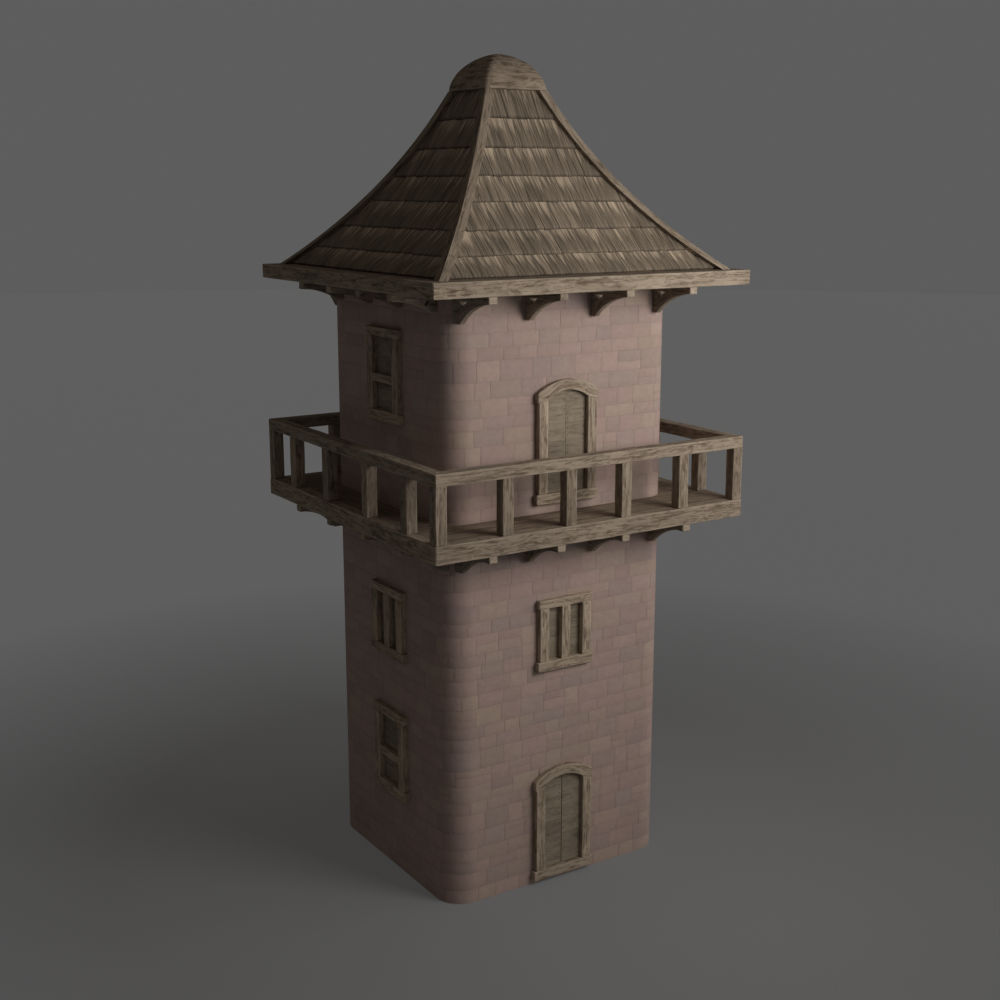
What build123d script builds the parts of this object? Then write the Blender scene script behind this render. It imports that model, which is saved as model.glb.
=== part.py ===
from build123d import *
import math
import os

# Stone watchtower, in millimetres. The origin is the centre of the tower's base on the ground.
# +Z is up, the door wall faces -Y, and the walls stand on Z = 0.

# Masonry
WALL_X = 5000.0            # outside width, left to right
WALL_Y = 4550.0            # outside depth, front to back
WALL_TOP = 11450.0         # top of the masonry, and underside of the eaves
WALL_THICK = 600.0
CORNER_RADIUS = 520.0      # rounded outside corners
SEAT_GAP = 0.3             # clearance where wood is scribed to a round corner

# Openings: the hole in the masonry is the same width everywhere, and the wooden frame hides its edge
HOLE_SIDE = 55.0           # how far the hole in the masonry runs past a door's clear opening, each side
HOLE_MARGIN = 25.0         # how far the hole in the masonry runs past a clear opening, up and down
TRIM_PROUD = 125.0         # how far the frames stand out from the wall
JAMB_WIDTH = 195.0         # of the doors
SILL_HEIGHT = 190.0
SILL_EARS = 48.0           # sill beyond the jambs at each end
HEAD_EARS = 30.0           # head beyond the jambs at each end

# Doors: the same opening on the ground and on the balcony
DOOR_WIDTH = 890.0
DOOR_SIDE_HEIGHT = 1735.0  # sill top to the springing of the arch at the jamb's inner edge
DOOR_RISE = 150.0          # rise of the arch between the jambs
ARCH_DEPTH = 190.0         # height of the arched head at its middle
ARCH_END_DROP = 70.0       # how far the head's ends hang below the springing
ARCH_SHOULDER = 185.0      # height of the head's upright ends
LEAF_THICK = 50.0
LEAF_SETBACK = 95.0        # front of the frame to the front of the leaf
LEAF_GAP = 6.0             # clearance under and beside a moving leaf
LEAF_TOP_GAP = 8.0         # clearance above a moving leaf, under the arch
LEAF_MEETING_GAP = 12.0    # between the two moving leaves
GROUND_SILL_BOTTOM = 90.0
BALCONY_SILL_ABOVE_DECK = 180.0

# Hinges of the ground door
STRAP_LENGTH = 330.0
STRAP_HEIGHT = 50.0
STRAP_THICK = 10.0
STRAP_INSET = 260.0        # centre of each strap from the leaf's bottom and from its springing
PIN_DIAMETER = 16.0
PIN_CLEARANCE = 0.08       # radial
EYE_WALL = 8.0
EYE_SIDE = 20.0            # hinge axis beyond the clear opening, towards the masonry
EYE_BEHIND = 28.0          # hinge axis behind the back of the leaf
PINTLE_DROP = 0.5          # running gap under the eye
PINTLE_HEIGHT = 30.0
PINTLE_FLANGE = 8.0

# Windows
WINDOW_WIDTH = 770.0
WINDOW_LAP = 80.0          # how far a window's jambs run past the hole in the masonry
WINDOW_HEAD = 160.0
WINDOW_BAR = 150.0
WIDE_MULLION = 190.0
BOARD_THICK = 40.0
FRONT_WINDOW_SILL = 4525.0
FRONT_WINDOW_HEIGHT = 1035.0
TALL_WINDOW_HEIGHT = 1380.0
TALL_LOWER_LIGHT = 530.0
SIDE_LOW_SILL = 1765.0
SIDE_MID_SILL = 4590.0
SIDE_HIGH_SILL = 9160.0
SIDE_WINDOW_SHIFT = 135.0  # the side windows stand this far forward of the wall's middle

# Floors inside
GROUND_FLOOR_TOP = 200.0
FIRST_FLOOR_TOP = 3700.0
TIMBER_FLOOR_THICK = 60.0

# Balcony
BALCONY_HALF = 3385.0      # outer face of the edge beams from the centre, on all four sides
BALCONY_BEAM_BOTTOM = 7048.0
BALCONY_BEAM_HEIGHT = 326.0
BALCONY_BEAM_WIDTH = 220.0
DECK_THICK = 80.0
POST_SIZE = 220.0
POST_SETBACK = 8.0
RAIL_ABOVE_DECK = 1226.0   # deck top to rail top
RAIL_HEIGHT = 218.0
RAIL_WIDTH = 240.0
FRONT_POSTS = (610.0, 1940.0)   # post centres each side of the middle, front and back
SIDE_POSTS = (810.0, 2260.0)    # post centres each side of the middle, left and right

# Brackets, alike under the balcony and under the eaves
BRACKET_COUNT = 4                # in each row on each wall
BRACKET_INSET = 358.0            # half the wall's length that a row of brackets leaves free
LEFT_BALCONY_INSET = 226.0       # the same for the balcony's left row, which is centred
FRONT_BRACKET_SHIFT = 102.0      # front row's shift to the left, and the back row's to the right
SIDE_BRACKET_SHIFT = 137.0       # the other side rows' shift to the right
EAVE_SIDE_INSET = 520.0          # half the length left free by the side rows under the eaves
BRACKET_WIDTH = 172.0
BRACKET_ARM_HEIGHT = 128.0
BRACKET_DROP = 530.0       # arm's top to the foot of the brace
EAVE_SIDE_DROP = 350.0     # the same under the eaves of the side walls
BRACE_WIDTH = 110.0
BRACE_FOOT = 115.0
BRACE_LEG = 115.0          # upright leg on the wall, behind the three-cornered hole under the arm
BRACE_HOLE_END = 355.0     # far corner of the hole
BRACE_HOLE_LOW = 185.0     # low corner of the hole, out from the wall
BRACE_HOLE_DROP = 235.0    # and down from the arm's top
BRACKET_SETBACK = 8.0

# Roof
EAVE_HALF = 3385.0
EAVE_HEIGHT = 267.0
EAVE_WIDTH = 650.0
ROOF_FLOOR_THICK = 80.0
EAVE_LEDGE = 255.0         # edge of the eaves to the foot of the hips
ROOF_HEIGHT = 3234.0       # eaves to the base of the cap
ROOF_HEAD_HALF = 675.0     # half width of the roof under the cap
HIP_MIDDLE_OUT = 0.3686    # a point of the hips' curve, as a share of their run from head to foot
HIP_MIDDLE_UP = 0.5176     # and of the roof's height
HIP_THICK = 70.0
HIP_WIDTH = 130.0          # each board of the pair, measured square to the hip
SHINGLE_DEPTH = 60.0       # room for the shingles on top of the roof boarding
SLOPE_THICK = 60.0
CAP_LAP = 15.0             # the cap's base beyond the roof's head
CAP_HEIGHT = 665.0
CAP_SHOULDER_OUT = 0.703   # a point of the cap's curve, as a share of its half width
CAP_SHOULDER_UP = 0.654    # and of its height
CAP_THICK = 60.0

DOOR_HALF = DOOR_WIDTH / 2
HOLE_HALF = DOOR_HALF + HOLE_SIDE
WINDOW_JAMB = HOLE_HALF + WINDOW_LAP - WINDOW_WIDTH / 2
INNER_X = WALL_X / 2 - WALL_THICK
INNER_Y = WALL_Y / 2 - WALL_THICK
DECK_TOP = BALCONY_BEAM_BOTTOM + BALCONY_BEAM_HEIGHT
BALCONY_SILL_BOTTOM = DECK_TOP + BALCONY_SILL_ABOVE_DECK
RAIL_TOP = DECK_TOP + RAIL_ABOVE_DECK
EAVE_TOP = WALL_TOP + EAVE_HEIGHT
CAP_HALF = ROOF_HEAD_HALF + CAP_LAP


def block(x0, x1, y0, y1, z0, z1):
    """A box between two corners."""
    size = (x1 - x0, y1 - y0, z1 - z0)
    centre = ((x0 + x1) / 2, (y0 + y1) / 2, (z0 + z1) / 2)
    return Pos(*centre) * Box(*size)


def turned(solids, degrees):
    """The solids turned about the tower's axis."""
    return [Rot(0, 0, degrees) * solid for solid in solids]


def on_wall(solids, reach, degrees, shift=0.0):
    """Solids drawn on a front wall at Y = 0, moved out to a wall at `reach` and turned to its side."""
    return turned([Pos(shift, -reach, 0) * solid for solid in solids], degrees)


def tower_core(grow, z0, z1):
    """The tower's rounded outline as a solid, grown sideways."""
    outline = RectangleRounded(WALL_X + 2 * grow, WALL_Y + 2 * grow, CORNER_RADIUS + grow)
    return Pos(0, 0, z0) * extrude(outline, amount=z1 - z0, dir=(0, 0, 1))


def scribed(solids, z0, z1):
    """Solids cut back to stand clear of the tower's outside by the seat gap."""
    core = tower_core(SEAT_GAP, z0, z1)
    return [(solid - core).solids()[0] for solid in solids]


def sides():
    """Each wall: its turn, its distance from the centre and the shift of what is set on it."""
    return (
        ("front", 0.0, WALL_Y / 2),
        ("right", 90.0, WALL_X / 2),
        ("back", 180.0, WALL_Y / 2),
        ("left", 270.0, WALL_X / 2),
    )


def window_shift(side):
    """How far the windows stand along their wall from its middle, in the wall's own direction."""
    return {"left": SIDE_WINDOW_SHIFT, "right": -SIDE_WINDOW_SHIFT}.get(side, 0.0)


# ---- masonry ----

def corner_piers():
    """Four full-height piers, each with one rounded outside corner."""
    solids = []
    for sx in (-1, 1):
        for sy in (-1, 1):
            pier = block(INNER_X, WALL_X / 2, INNER_Y, WALL_Y / 2, 0, WALL_TOP)
            edge = pier.edges().filter_by(Axis.Z).sort_by(lambda e: e.center().X + e.center().Y)[-1]
            pier = fillet(edge, CORNER_RADIUS)
            if sx < 0:
                pier = mirror(pier, Plane.YZ)
            if sy < 0:
                pier = mirror(pier, Plane.XZ)
            solids.append(pier)
    return solids


def wall_piers(half_inside, shift):
    """Two plain piers, one each side of the openings, on a wall drawn at Y = 0."""
    left = block(-half_inside, shift - HOLE_HALF, 0, WALL_THICK, 0, WALL_TOP)
    right = block(shift + HOLE_HALF, half_inside, 0, WALL_THICK, 0, WALL_TOP)
    return [left, right]


def wall_bands(holes, shift):
    """Masonry below, between and above the holes, each hole given as its bottom and its top."""
    solids = []
    bottom = 0.0
    for hole_bottom, hole_top in list(holes) + [(WALL_TOP, None)]:
        solids.append(block(shift - HOLE_HALF, shift + HOLE_HALF, 0, WALL_THICK, bottom, hole_bottom))
        bottom = hole_top
    return solids


def door_hole(sill_bottom):
    """Bottom and top of the masonry's hole for a door, from the underside of its sill."""
    sill_top = sill_bottom + SILL_HEIGHT
    crown = sill_top + DOOR_SIDE_HEIGHT + DOOR_RISE
    return (sill_top - HOLE_MARGIN, crown + 2 * HOLE_MARGIN)


def window_hole(sill_top, height):
    """Bottom and top of the masonry's hole for a window."""
    return (sill_top - HOLE_MARGIN, sill_top + height + HOLE_MARGIN)


def front_holes():
    """Holes in the front wall, from the ground up."""
    return (
        door_hole(GROUND_SILL_BOTTOM),
        window_hole(FRONT_WINDOW_SILL, FRONT_WINDOW_HEIGHT),
        door_hole(BALCONY_SILL_BOTTOM),
    )


def side_window_sizes():
    """Sill top, height and kind of each window on a wall without doors."""
    return (
        (SIDE_LOW_SILL, TALL_WINDOW_HEIGHT, "stacked"),
        (SIDE_MID_SILL, FRONT_WINDOW_HEIGHT, "paired"),
        (SIDE_HIGH_SILL, TALL_WINDOW_HEIGHT, "stacked"),
    )


def side_holes():
    """Holes in a wall without doors, from the ground up."""
    return [window_hole(sill, height) for sill, height, kind in side_window_sizes()]


# ---- doors ----

def arc_height(half_span, rise, x):
    """Height at x of a round arch above its springing."""
    radius = (half_span ** 2 + rise ** 2) / (2 * rise)
    return math.sqrt(radius ** 2 - x ** 2) - (radius - rise)


def door_springing(sill_bottom):
    """Height of the arch's springing at the jamb's inner edge."""
    return sill_bottom + SILL_HEIGHT + DOOR_SIDE_HEIGHT


def plate(outline, y0, y1):
    """An outline drawn in X and Z, made solid from y0 to y1."""
    return Pos(0, y0, 0) * extrude(make_face(outline), amount=y1 - y0, dir=(0, 1, 0))


def line(points):
    """Straight lines through points given as X and Z."""
    return Polyline(*[(x, 0, z) for x, z in points])


def arc(start, middle, end):
    """A round arc through three points given as X and Z."""
    return ThreePointArc(*[(x, 0, z) for x, z in (start, middle, end)])


def door_jambs(sill_bottom):
    """Two posts, cut at the top to the slope of the head's end."""
    sill_top = sill_bottom + SILL_HEIGHT
    spring = door_springing(sill_bottom)
    outer = DOOR_HALF + JAMB_WIDTH
    outer_top = spring - ARCH_END_DROP * JAMB_WIDTH / (JAMB_WIDTH + HEAD_EARS)
    corners = ((DOOR_HALF, sill_top), (outer, sill_top), (outer, outer_top), (DOOR_HALF, spring))
    post = plate(line(corners + corners[:1]), -TRIM_PROUD, 0)
    return [post, mirror(post, Plane.YZ)]


def door_head(sill_bottom):
    """The arched head: a round inner edge, a round top and short upright ends."""
    spring = door_springing(sill_bottom)
    end = DOOR_HALF + JAMB_WIDTH + HEAD_EARS
    low = spring - ARCH_END_DROP
    crown = spring + DOOR_RISE
    outline = [
        arc((-DOOR_HALF, spring), (0, crown), (DOOR_HALF, spring)),
        line(((DOOR_HALF, spring), (end, low), (end, low + ARCH_SHOULDER))),
        arc((end, low + ARCH_SHOULDER), (0, crown + ARCH_DEPTH), (-end, low + ARCH_SHOULDER)),
        line(((-end, low + ARCH_SHOULDER), (-end, low), (-DOOR_HALF, spring))),
    ]
    return [plate(outline, -TRIM_PROUD, 0)]


def sill(frame_half, bottom):
    """A square-edged sill with ears beyond the jambs."""
    half = frame_half + SILL_EARS
    return block(-half, half, -TRIM_PROUD, 0, bottom, bottom + SILL_HEIGHT)


def leaf_right(sill_bottom, gap, top_gap, meeting_gap):
    """The leaf on the +X side, with its top cut to the arch."""
    bottom = sill_bottom + SILL_HEIGHT + gap
    spring = door_springing(sill_bottom) - top_gap
    outer = DOOR_HALF - gap
    inner = meeting_gap / 2
    half_way = (outer + inner) / 2

    def top(x):
        return spring + arc_height(DOOR_HALF, DOOR_RISE, x)

    outline = [
        line(((outer, top(outer)), (outer, bottom), (inner, bottom), (inner, top(inner)))),
        arc((inner, top(inner)), (half_way, top(half_way)), (outer, top(outer))),
    ]
    front = LEAF_SETBACK - TRIM_PROUD
    return plate(outline, front, front + LEAF_THICK)


def hinge_axis():
    """X and Y of the right leaf's hinge axis on a front wall drawn at Y = 0."""
    return (DOOR_HALF + EYE_SIDE, LEAF_SETBACK - TRIM_PROUD + LEAF_THICK + EYE_BEHIND)


def strap_heights(sill_bottom):
    """Centres of the two straps on a leaf."""
    bottom = sill_bottom + SILL_HEIGHT + LEAF_GAP
    spring = door_springing(sill_bottom) - LEAF_TOP_GAP
    return (bottom + STRAP_INSET, spring - STRAP_INSET)


def strap_right(z):
    """A strap flat on the back of the right leaf, ending in an eye around the pintle's pin."""
    axis_x, axis_y = hinge_axis()
    back = LEAF_SETBACK - TRIM_PROUD + LEAF_THICK
    z0 = z - STRAP_HEIGHT / 2
    z1 = z + STRAP_HEIGHT / 2
    bore = PIN_DIAMETER / 2 + PIN_CLEARANCE
    eye = Pos(axis_x, axis_y, z) * Cylinder(bore + EYE_WALL, STRAP_HEIGHT)
    eye_near = axis_x - bore - EYE_WALL
    bar = block(DOOR_HALF - LEAF_GAP - STRAP_LENGTH, axis_x - bore, back, back + STRAP_THICK, z0, z1)
    neck = block(eye_near, axis_x - bore, back, axis_y, z0, z1)
    hole = Pos(axis_x, axis_y, z) * Cylinder(bore, STRAP_HEIGHT * 2)
    return (eye + bar + neck) - hole


def pintle_right(z):
    """A pin on an arm under the strap's eye, with a flange on the masonry's reveal."""
    axis_x, axis_y = hinge_axis()
    top = z - STRAP_HEIGHT / 2 - PINTLE_DROP
    reach = PIN_DIAMETER / 2 + EYE_WALL
    arm = block(axis_x - reach, HOLE_HALF - PINTLE_FLANGE, axis_y - reach, axis_y + reach,
                top - PINTLE_HEIGHT, top)
    flange = block(HOLE_HALF - PINTLE_FLANGE, HOLE_HALF, axis_y - reach, axis_y + 3 * reach,
                   top - 2 * PINTLE_HEIGHT, top)
    pin_height = STRAP_HEIGHT + 2 * PINTLE_DROP
    pin = Pos(axis_x, axis_y, top + pin_height / 2) * Cylinder(PIN_DIAMETER / 2, pin_height)
    return arm + flange + pin


# ---- windows ----

def window_pieces(sill_top, height, kind):
    """The heads, jambs, sills, bars and boards of one window, on a wall drawn at Y = 0."""
    half = WINDOW_WIDTH / 2
    top = sill_top + height
    head_half = half + WINDOW_JAMB + HEAD_EARS
    jamb = block(half, half + WINDOW_JAMB, -TRIM_PROUD, 0, sill_top, top)
    if kind == "paired":
        bar = block(-WIDE_MULLION / 2, WIDE_MULLION / 2, -TRIM_PROUD, 0, sill_top, top)
    else:
        bar_bottom = sill_top + TALL_LOWER_LIGHT
        bar = block(-half, half, -TRIM_PROUD, 0, bar_bottom, bar_bottom + WINDOW_BAR)
    return {
        "window_heads": [block(-head_half, head_half, -TRIM_PROUD, 0, top, top + WINDOW_HEAD)],
        "window_jambs": [jamb, mirror(jamb, Plane.YZ)],
        "window_sills": [sill(half + WINDOW_JAMB, sill_top - SILL_HEIGHT)],
        "window_bars": [bar],
        "window_boards": [
            block(-HOLE_HALF, HOLE_HALF, 0, BOARD_THICK, sill_top - HOLE_MARGIN, top + HOLE_MARGIN)
        ],
    }


def windows():
    """Every window's pieces, gathered by kind of piece."""
    gathered = {}
    for side, degrees, reach in sides():
        if side == "front":
            sizes = ((FRONT_WINDOW_SILL, FRONT_WINDOW_HEIGHT, "paired"),)
        else:
            sizes = side_window_sizes()
        for sill_top, height, kind in sizes:
            for name, solids in window_pieces(sill_top, height, kind).items():
                placed = on_wall(solids, reach, degrees, window_shift(side))
                gathered.setdefault(name, []).extend(placed)
    return gathered


# ---- floors ----

def floor_slab(top, thick):
    """A floor that fills the room from wall to wall."""
    return [block(-INNER_X, INNER_X, -INNER_Y, INNER_Y, top - thick, top)]


# ---- balcony ----

def mitred_bar(half, width, z0, z1):
    """A bar along the front edge of a square, mitred at both ends."""
    inner = half - width
    outline = Polyline((-half, -half), (half, -half), (inner, -inner), (-inner, -inner), (-half, -half))
    return Pos(0, 0, z0) * extrude(make_face(outline), amount=z1 - z0, dir=(0, 0, 1))


def balcony_decks():
    """Decks from the wall to the edge beams: front and back run round the corners, sides between."""
    inner = BALCONY_HALF - BALCONY_BEAM_WIDTH
    straight = WALL_Y / 2 - CORNER_RADIUS
    z0 = DECK_TOP - DECK_THICK
    front = scribed([block(-inner, inner, -inner, -straight, z0, DECK_TOP)], z0 - 1, DECK_TOP + 1)
    side = scribed([block(-inner, -INNER_X, -straight, straight, z0, DECK_TOP)], z0 - 1, DECK_TOP + 1)
    return front + turned(front, 180), side + turned(side, 180)


def bracket_places(side, row):
    """Places of one row's brackets along a wall, in the wall's own direction."""
    length = WALL_X if side in ("front", "back") else WALL_Y
    inset = BRACKET_INSET
    shift = {"front": -FRONT_BRACKET_SHIFT, "back": FRONT_BRACKET_SHIFT}.get(side, SIDE_BRACKET_SHIFT)
    if (side, row) == ("left", "balcony"):
        inset = LEFT_BALCONY_INSET
        shift = 0.0
    elif row == "eaves" and side in ("left", "right"):
        inset = EAVE_SIDE_INSET
    pitch = (length - 2 * inset) / (BRACKET_COUNT - 1)
    middle = (BRACKET_COUNT - 1) / 2
    return [shift + (i - middle) * pitch for i in range(BRACKET_COUNT)]


def along_walls(make, z0, z1, row):
    """One solid at each of a row's places on all four walls, scribed to the tower."""
    solids = []
    for side, degrees, reach in sides():
        for place in bracket_places(side, row):
            solids.extend(on_wall([make(side, reach)], 0.0, degrees, place))
    return scribed(solids, z0, z1)


def bracket_arm(top, end, reach):
    """A level arm from inside the wall's face out to the edge."""
    half = BRACKET_WIDTH / 2
    return block(-half, half, -end, -reach + CORNER_RADIUS, top - BRACKET_ARM_HEIGHT, top)


def bracket_brace(top, end, reach, drop):
    """A brace with an upright leg on the wall and an underside that rounds to level at the arm's end."""
    length = end - reach
    under = top - BRACKET_ARM_HEIGHT
    foot = top - drop
    root = reach - CORNER_RADIUS
    run = length - BRACE_FOOT
    radius = (run ** 2 + (under - foot) ** 2) / (2 * (under - foot))
    turn = math.atan2(run, radius - (under - foot)) / 2

    def at(out, z):
        return (0, -reach - out, z)

    outline = [
        Polyline((0, -root, foot), at(BRACE_FOOT, foot)),
        ThreePointArc(at(BRACE_FOOT, foot),
                      at(length - radius * math.sin(turn), under - radius * (1 - math.cos(turn))),
                      at(length, under)),
        Polyline(at(length, under), at(BRACE_HOLE_END, under), at(BRACE_HOLE_LOW, top - BRACE_HOLE_DROP),
                 at(BRACE_LEG, under), (0, -root, under), (0, -root, foot)),
    ]
    return extrude(make_face(outline), amount=BRACE_WIDTH / 2, dir=(1, 0, 0), both=True)


def balcony_joists():
    """Joists between the wall and the edge beams, on top of the bracket arms."""
    top = DECK_TOP - DECK_THICK
    inner = BALCONY_HALF - BALCONY_BEAM_WIDTH

    half = BRACKET_WIDTH / 2

    def joist(side, reach):
        return block(-half, half, -inner, -reach + CORNER_RADIUS, BALCONY_BEAM_BOTTOM, top)

    return along_walls(joist, BALCONY_BEAM_BOTTOM - 1, top + 1, "balcony")


def brackets(top, half, row):
    """Arms and braces of one row of brackets on each wall."""
    end = half - BRACKET_SETBACK
    z0 = top - BRACKET_DROP - 1

    def arm(side, reach):
        return bracket_arm(top, end, reach)

    def brace(side, reach):
        short = row == "eaves" and side in ("left", "right")
        return bracket_brace(top, end, reach, EAVE_SIDE_DROP if short else BRACKET_DROP)

    return along_walls(arm, z0, top + 1, row), along_walls(brace, z0, top + 1, row)


def corner_posts():
    """One post at each corner of the balcony."""
    outer = BALCONY_HALF - POST_SETBACK
    inner = outer - POST_SIZE
    top = RAIL_TOP - RAIL_HEIGHT
    return [
        block(min(sx * inner, sx * outer), max(sx * inner, sx * outer),
              min(sy * inner, sy * outer), max(sy * inner, sy * outer), DECK_TOP, top)
        for sx in (-1, 1) for sy in (-1, 1)
    ]


def rail_posts():
    """The posts between the corners, spaced differently on the sides than on the front and back."""
    outer = BALCONY_HALF - POST_SETBACK
    half = POST_SIZE / 2
    top = RAIL_TOP - RAIL_HEIGHT
    solids = []
    for side, degrees, reach in sides():
        places = FRONT_POSTS if side in ("front", "back") else SIDE_POSTS
        for place in places:
            for x in (-place, place):
                post = block(x - half, x + half, -outer, -outer + POST_SIZE, DECK_TOP, top)
                solids.extend(turned([post], degrees))
    return solids


# ---- roof ----

def hip_curve(inset):
    """Centre and radius of the roof's curve, moved in square to the curve by the inset."""
    run = EAVE_HALF - EAVE_LEDGE - ROOF_HEAD_HALF
    x1, z1 = EAVE_HALF - EAVE_LEDGE, EAVE_TOP
    x2, z2 = ROOF_HEAD_HALF + HIP_MIDDLE_OUT * run, EAVE_TOP + HIP_MIDDLE_UP * ROOF_HEIGHT
    x3, z3 = ROOF_HEAD_HALF, EAVE_TOP + ROOF_HEIGHT
    a = 2 * (x2 - x1)
    b = 2 * (z2 - z1)
    c = 2 * (x3 - x1)
    d = 2 * (z3 - z1)
    e = x2 ** 2 + z2 ** 2 - x1 ** 2 - z1 ** 2
    f = x3 ** 2 + z3 ** 2 - x1 ** 2 - z1 ** 2
    centre_x = (e * d - b * f) / (a * d - b * c)
    centre_z = (a * f - e * c) / (a * d - b * c)
    radius = math.hypot(x1 - centre_x, z1 - centre_z)
    return centre_x, centre_z, radius + inset


def curve_point(inset, z):
    """Half width of the roof's curve at a height."""
    centre_x, centre_z, radius = hip_curve(inset)
    return centre_x - math.sqrt(radius ** 2 - (z - centre_z) ** 2)


def roof_profile(outer_inset, inner_inset, foot, head):
    """Outline in Y and Z of the front slope between two curves, from the eaves to the cap."""
    middle = (foot + head) / 2

    def at(inset, z):
        return (0, -curve_point(inset, z), z)

    return [
        ThreePointArc(at(outer_inset, foot), at(outer_inset, middle), at(outer_inset, head)),
        Line(at(outer_inset, head), at(inner_inset, head)),
        ThreePointArc(at(inner_inset, head), at(inner_inset, middle), at(inner_inset, foot)),
        Line(at(inner_inset, foot), at(outer_inset, foot)),
    ]


def front_wedge(z0, z1):
    """Everything in front of the two vertical planes through the hips."""
    reach = 2 * EAVE_HALF
    outline = Polyline((0, 0), (-reach, -reach), (reach, -reach), (0, 0))
    return Pos(0, 0, z0) * extrude(make_face(outline), amount=z1 - z0, dir=(0, 0, 1))


def roof_slope():
    """The front slope: curved boarding, mitred to its neighbours along the hips."""
    head = EAVE_TOP + ROOF_HEIGHT
    outer = HIP_THICK + SHINGLE_DEPTH
    profile = make_face(roof_profile(outer, outer + SLOPE_THICK, EAVE_TOP, head))
    sheet = extrude(profile, amount=EAVE_HALF, dir=(1, 0, 0), both=True)
    return (sheet & front_wedge(EAVE_TOP - 1, head + 1)).solids()[0]


def envelope(inset, foot, head):
    """The whole roof as one solid inside the four curved faces."""
    middle = (foot + head) / 2

    def at(side, z):
        return (0, side * curve_point(inset, z), z)

    outline = [
        ThreePointArc(at(-1, foot), at(-1, middle), at(-1, head)),
        Line(at(-1, head), at(1, head)),
        ThreePointArc(at(1, head), at(1, middle), at(1, foot)),
        Line(at(1, foot), at(-1, foot)),
    ]
    across = extrude(make_face(outline), amount=2 * EAVE_HALF, dir=(1, 0, 0), both=True)
    return across & (Rot(0, 0, 90) * across)


def hip_boards():
    """A pair of boards in a V over each hip, seen as one bent cover."""
    head = EAVE_TOP + ROOF_HEIGHT
    outer = envelope(0.0, EAVE_TOP, head)
    inner = envelope(HIP_THICK + SHINGLE_DEPTH - SEAT_GAP, EAVE_TOP - 1, head + 1)
    cover = outer - inner
    solids = []
    for degrees in (45, 135, 225, 315):
        strip = Rot(0, 0, degrees) * block(0, 2 * EAVE_HALF, -HIP_WIDTH, HIP_WIDTH, EAVE_TOP - 1, head + 1)
        solids.extend((cover & strip).solids())
    return solids


def dome(inset):
    """A four-sided dome on the head of the roof, drawn in by the inset on every side."""
    base = EAVE_TOP + ROOF_HEIGHT
    half = CAP_HALF - inset
    top = CAP_HEIGHT - inset
    shoulder = CAP_SHOULDER_OUT * half
    shoulder_rise = CAP_SHOULDER_UP * top

    def at(side, out, rise):
        return (0, side * out, base + rise)

    outline = [
        ThreePointArc(at(-1, half, 0), at(-1, shoulder, shoulder_rise), at(1, 0, top)),
        ThreePointArc(at(1, 0, top), at(1, shoulder, shoulder_rise), at(1, half, 0)),
        Line(at(1, half, 0), at(-1, half, 0)),
    ]
    across = extrude(make_face(outline), amount=2 * CAP_HALF, dir=(1, 0, 0), both=True)
    return across & (Rot(0, 0, 90) * across)


def roof_cap():
    """A thick four-sided shell over the head of the roof, open underneath."""
    return (dome(0.0) - dome(CAP_THICK)).solids()


# ---- the whole tower ----

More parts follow.
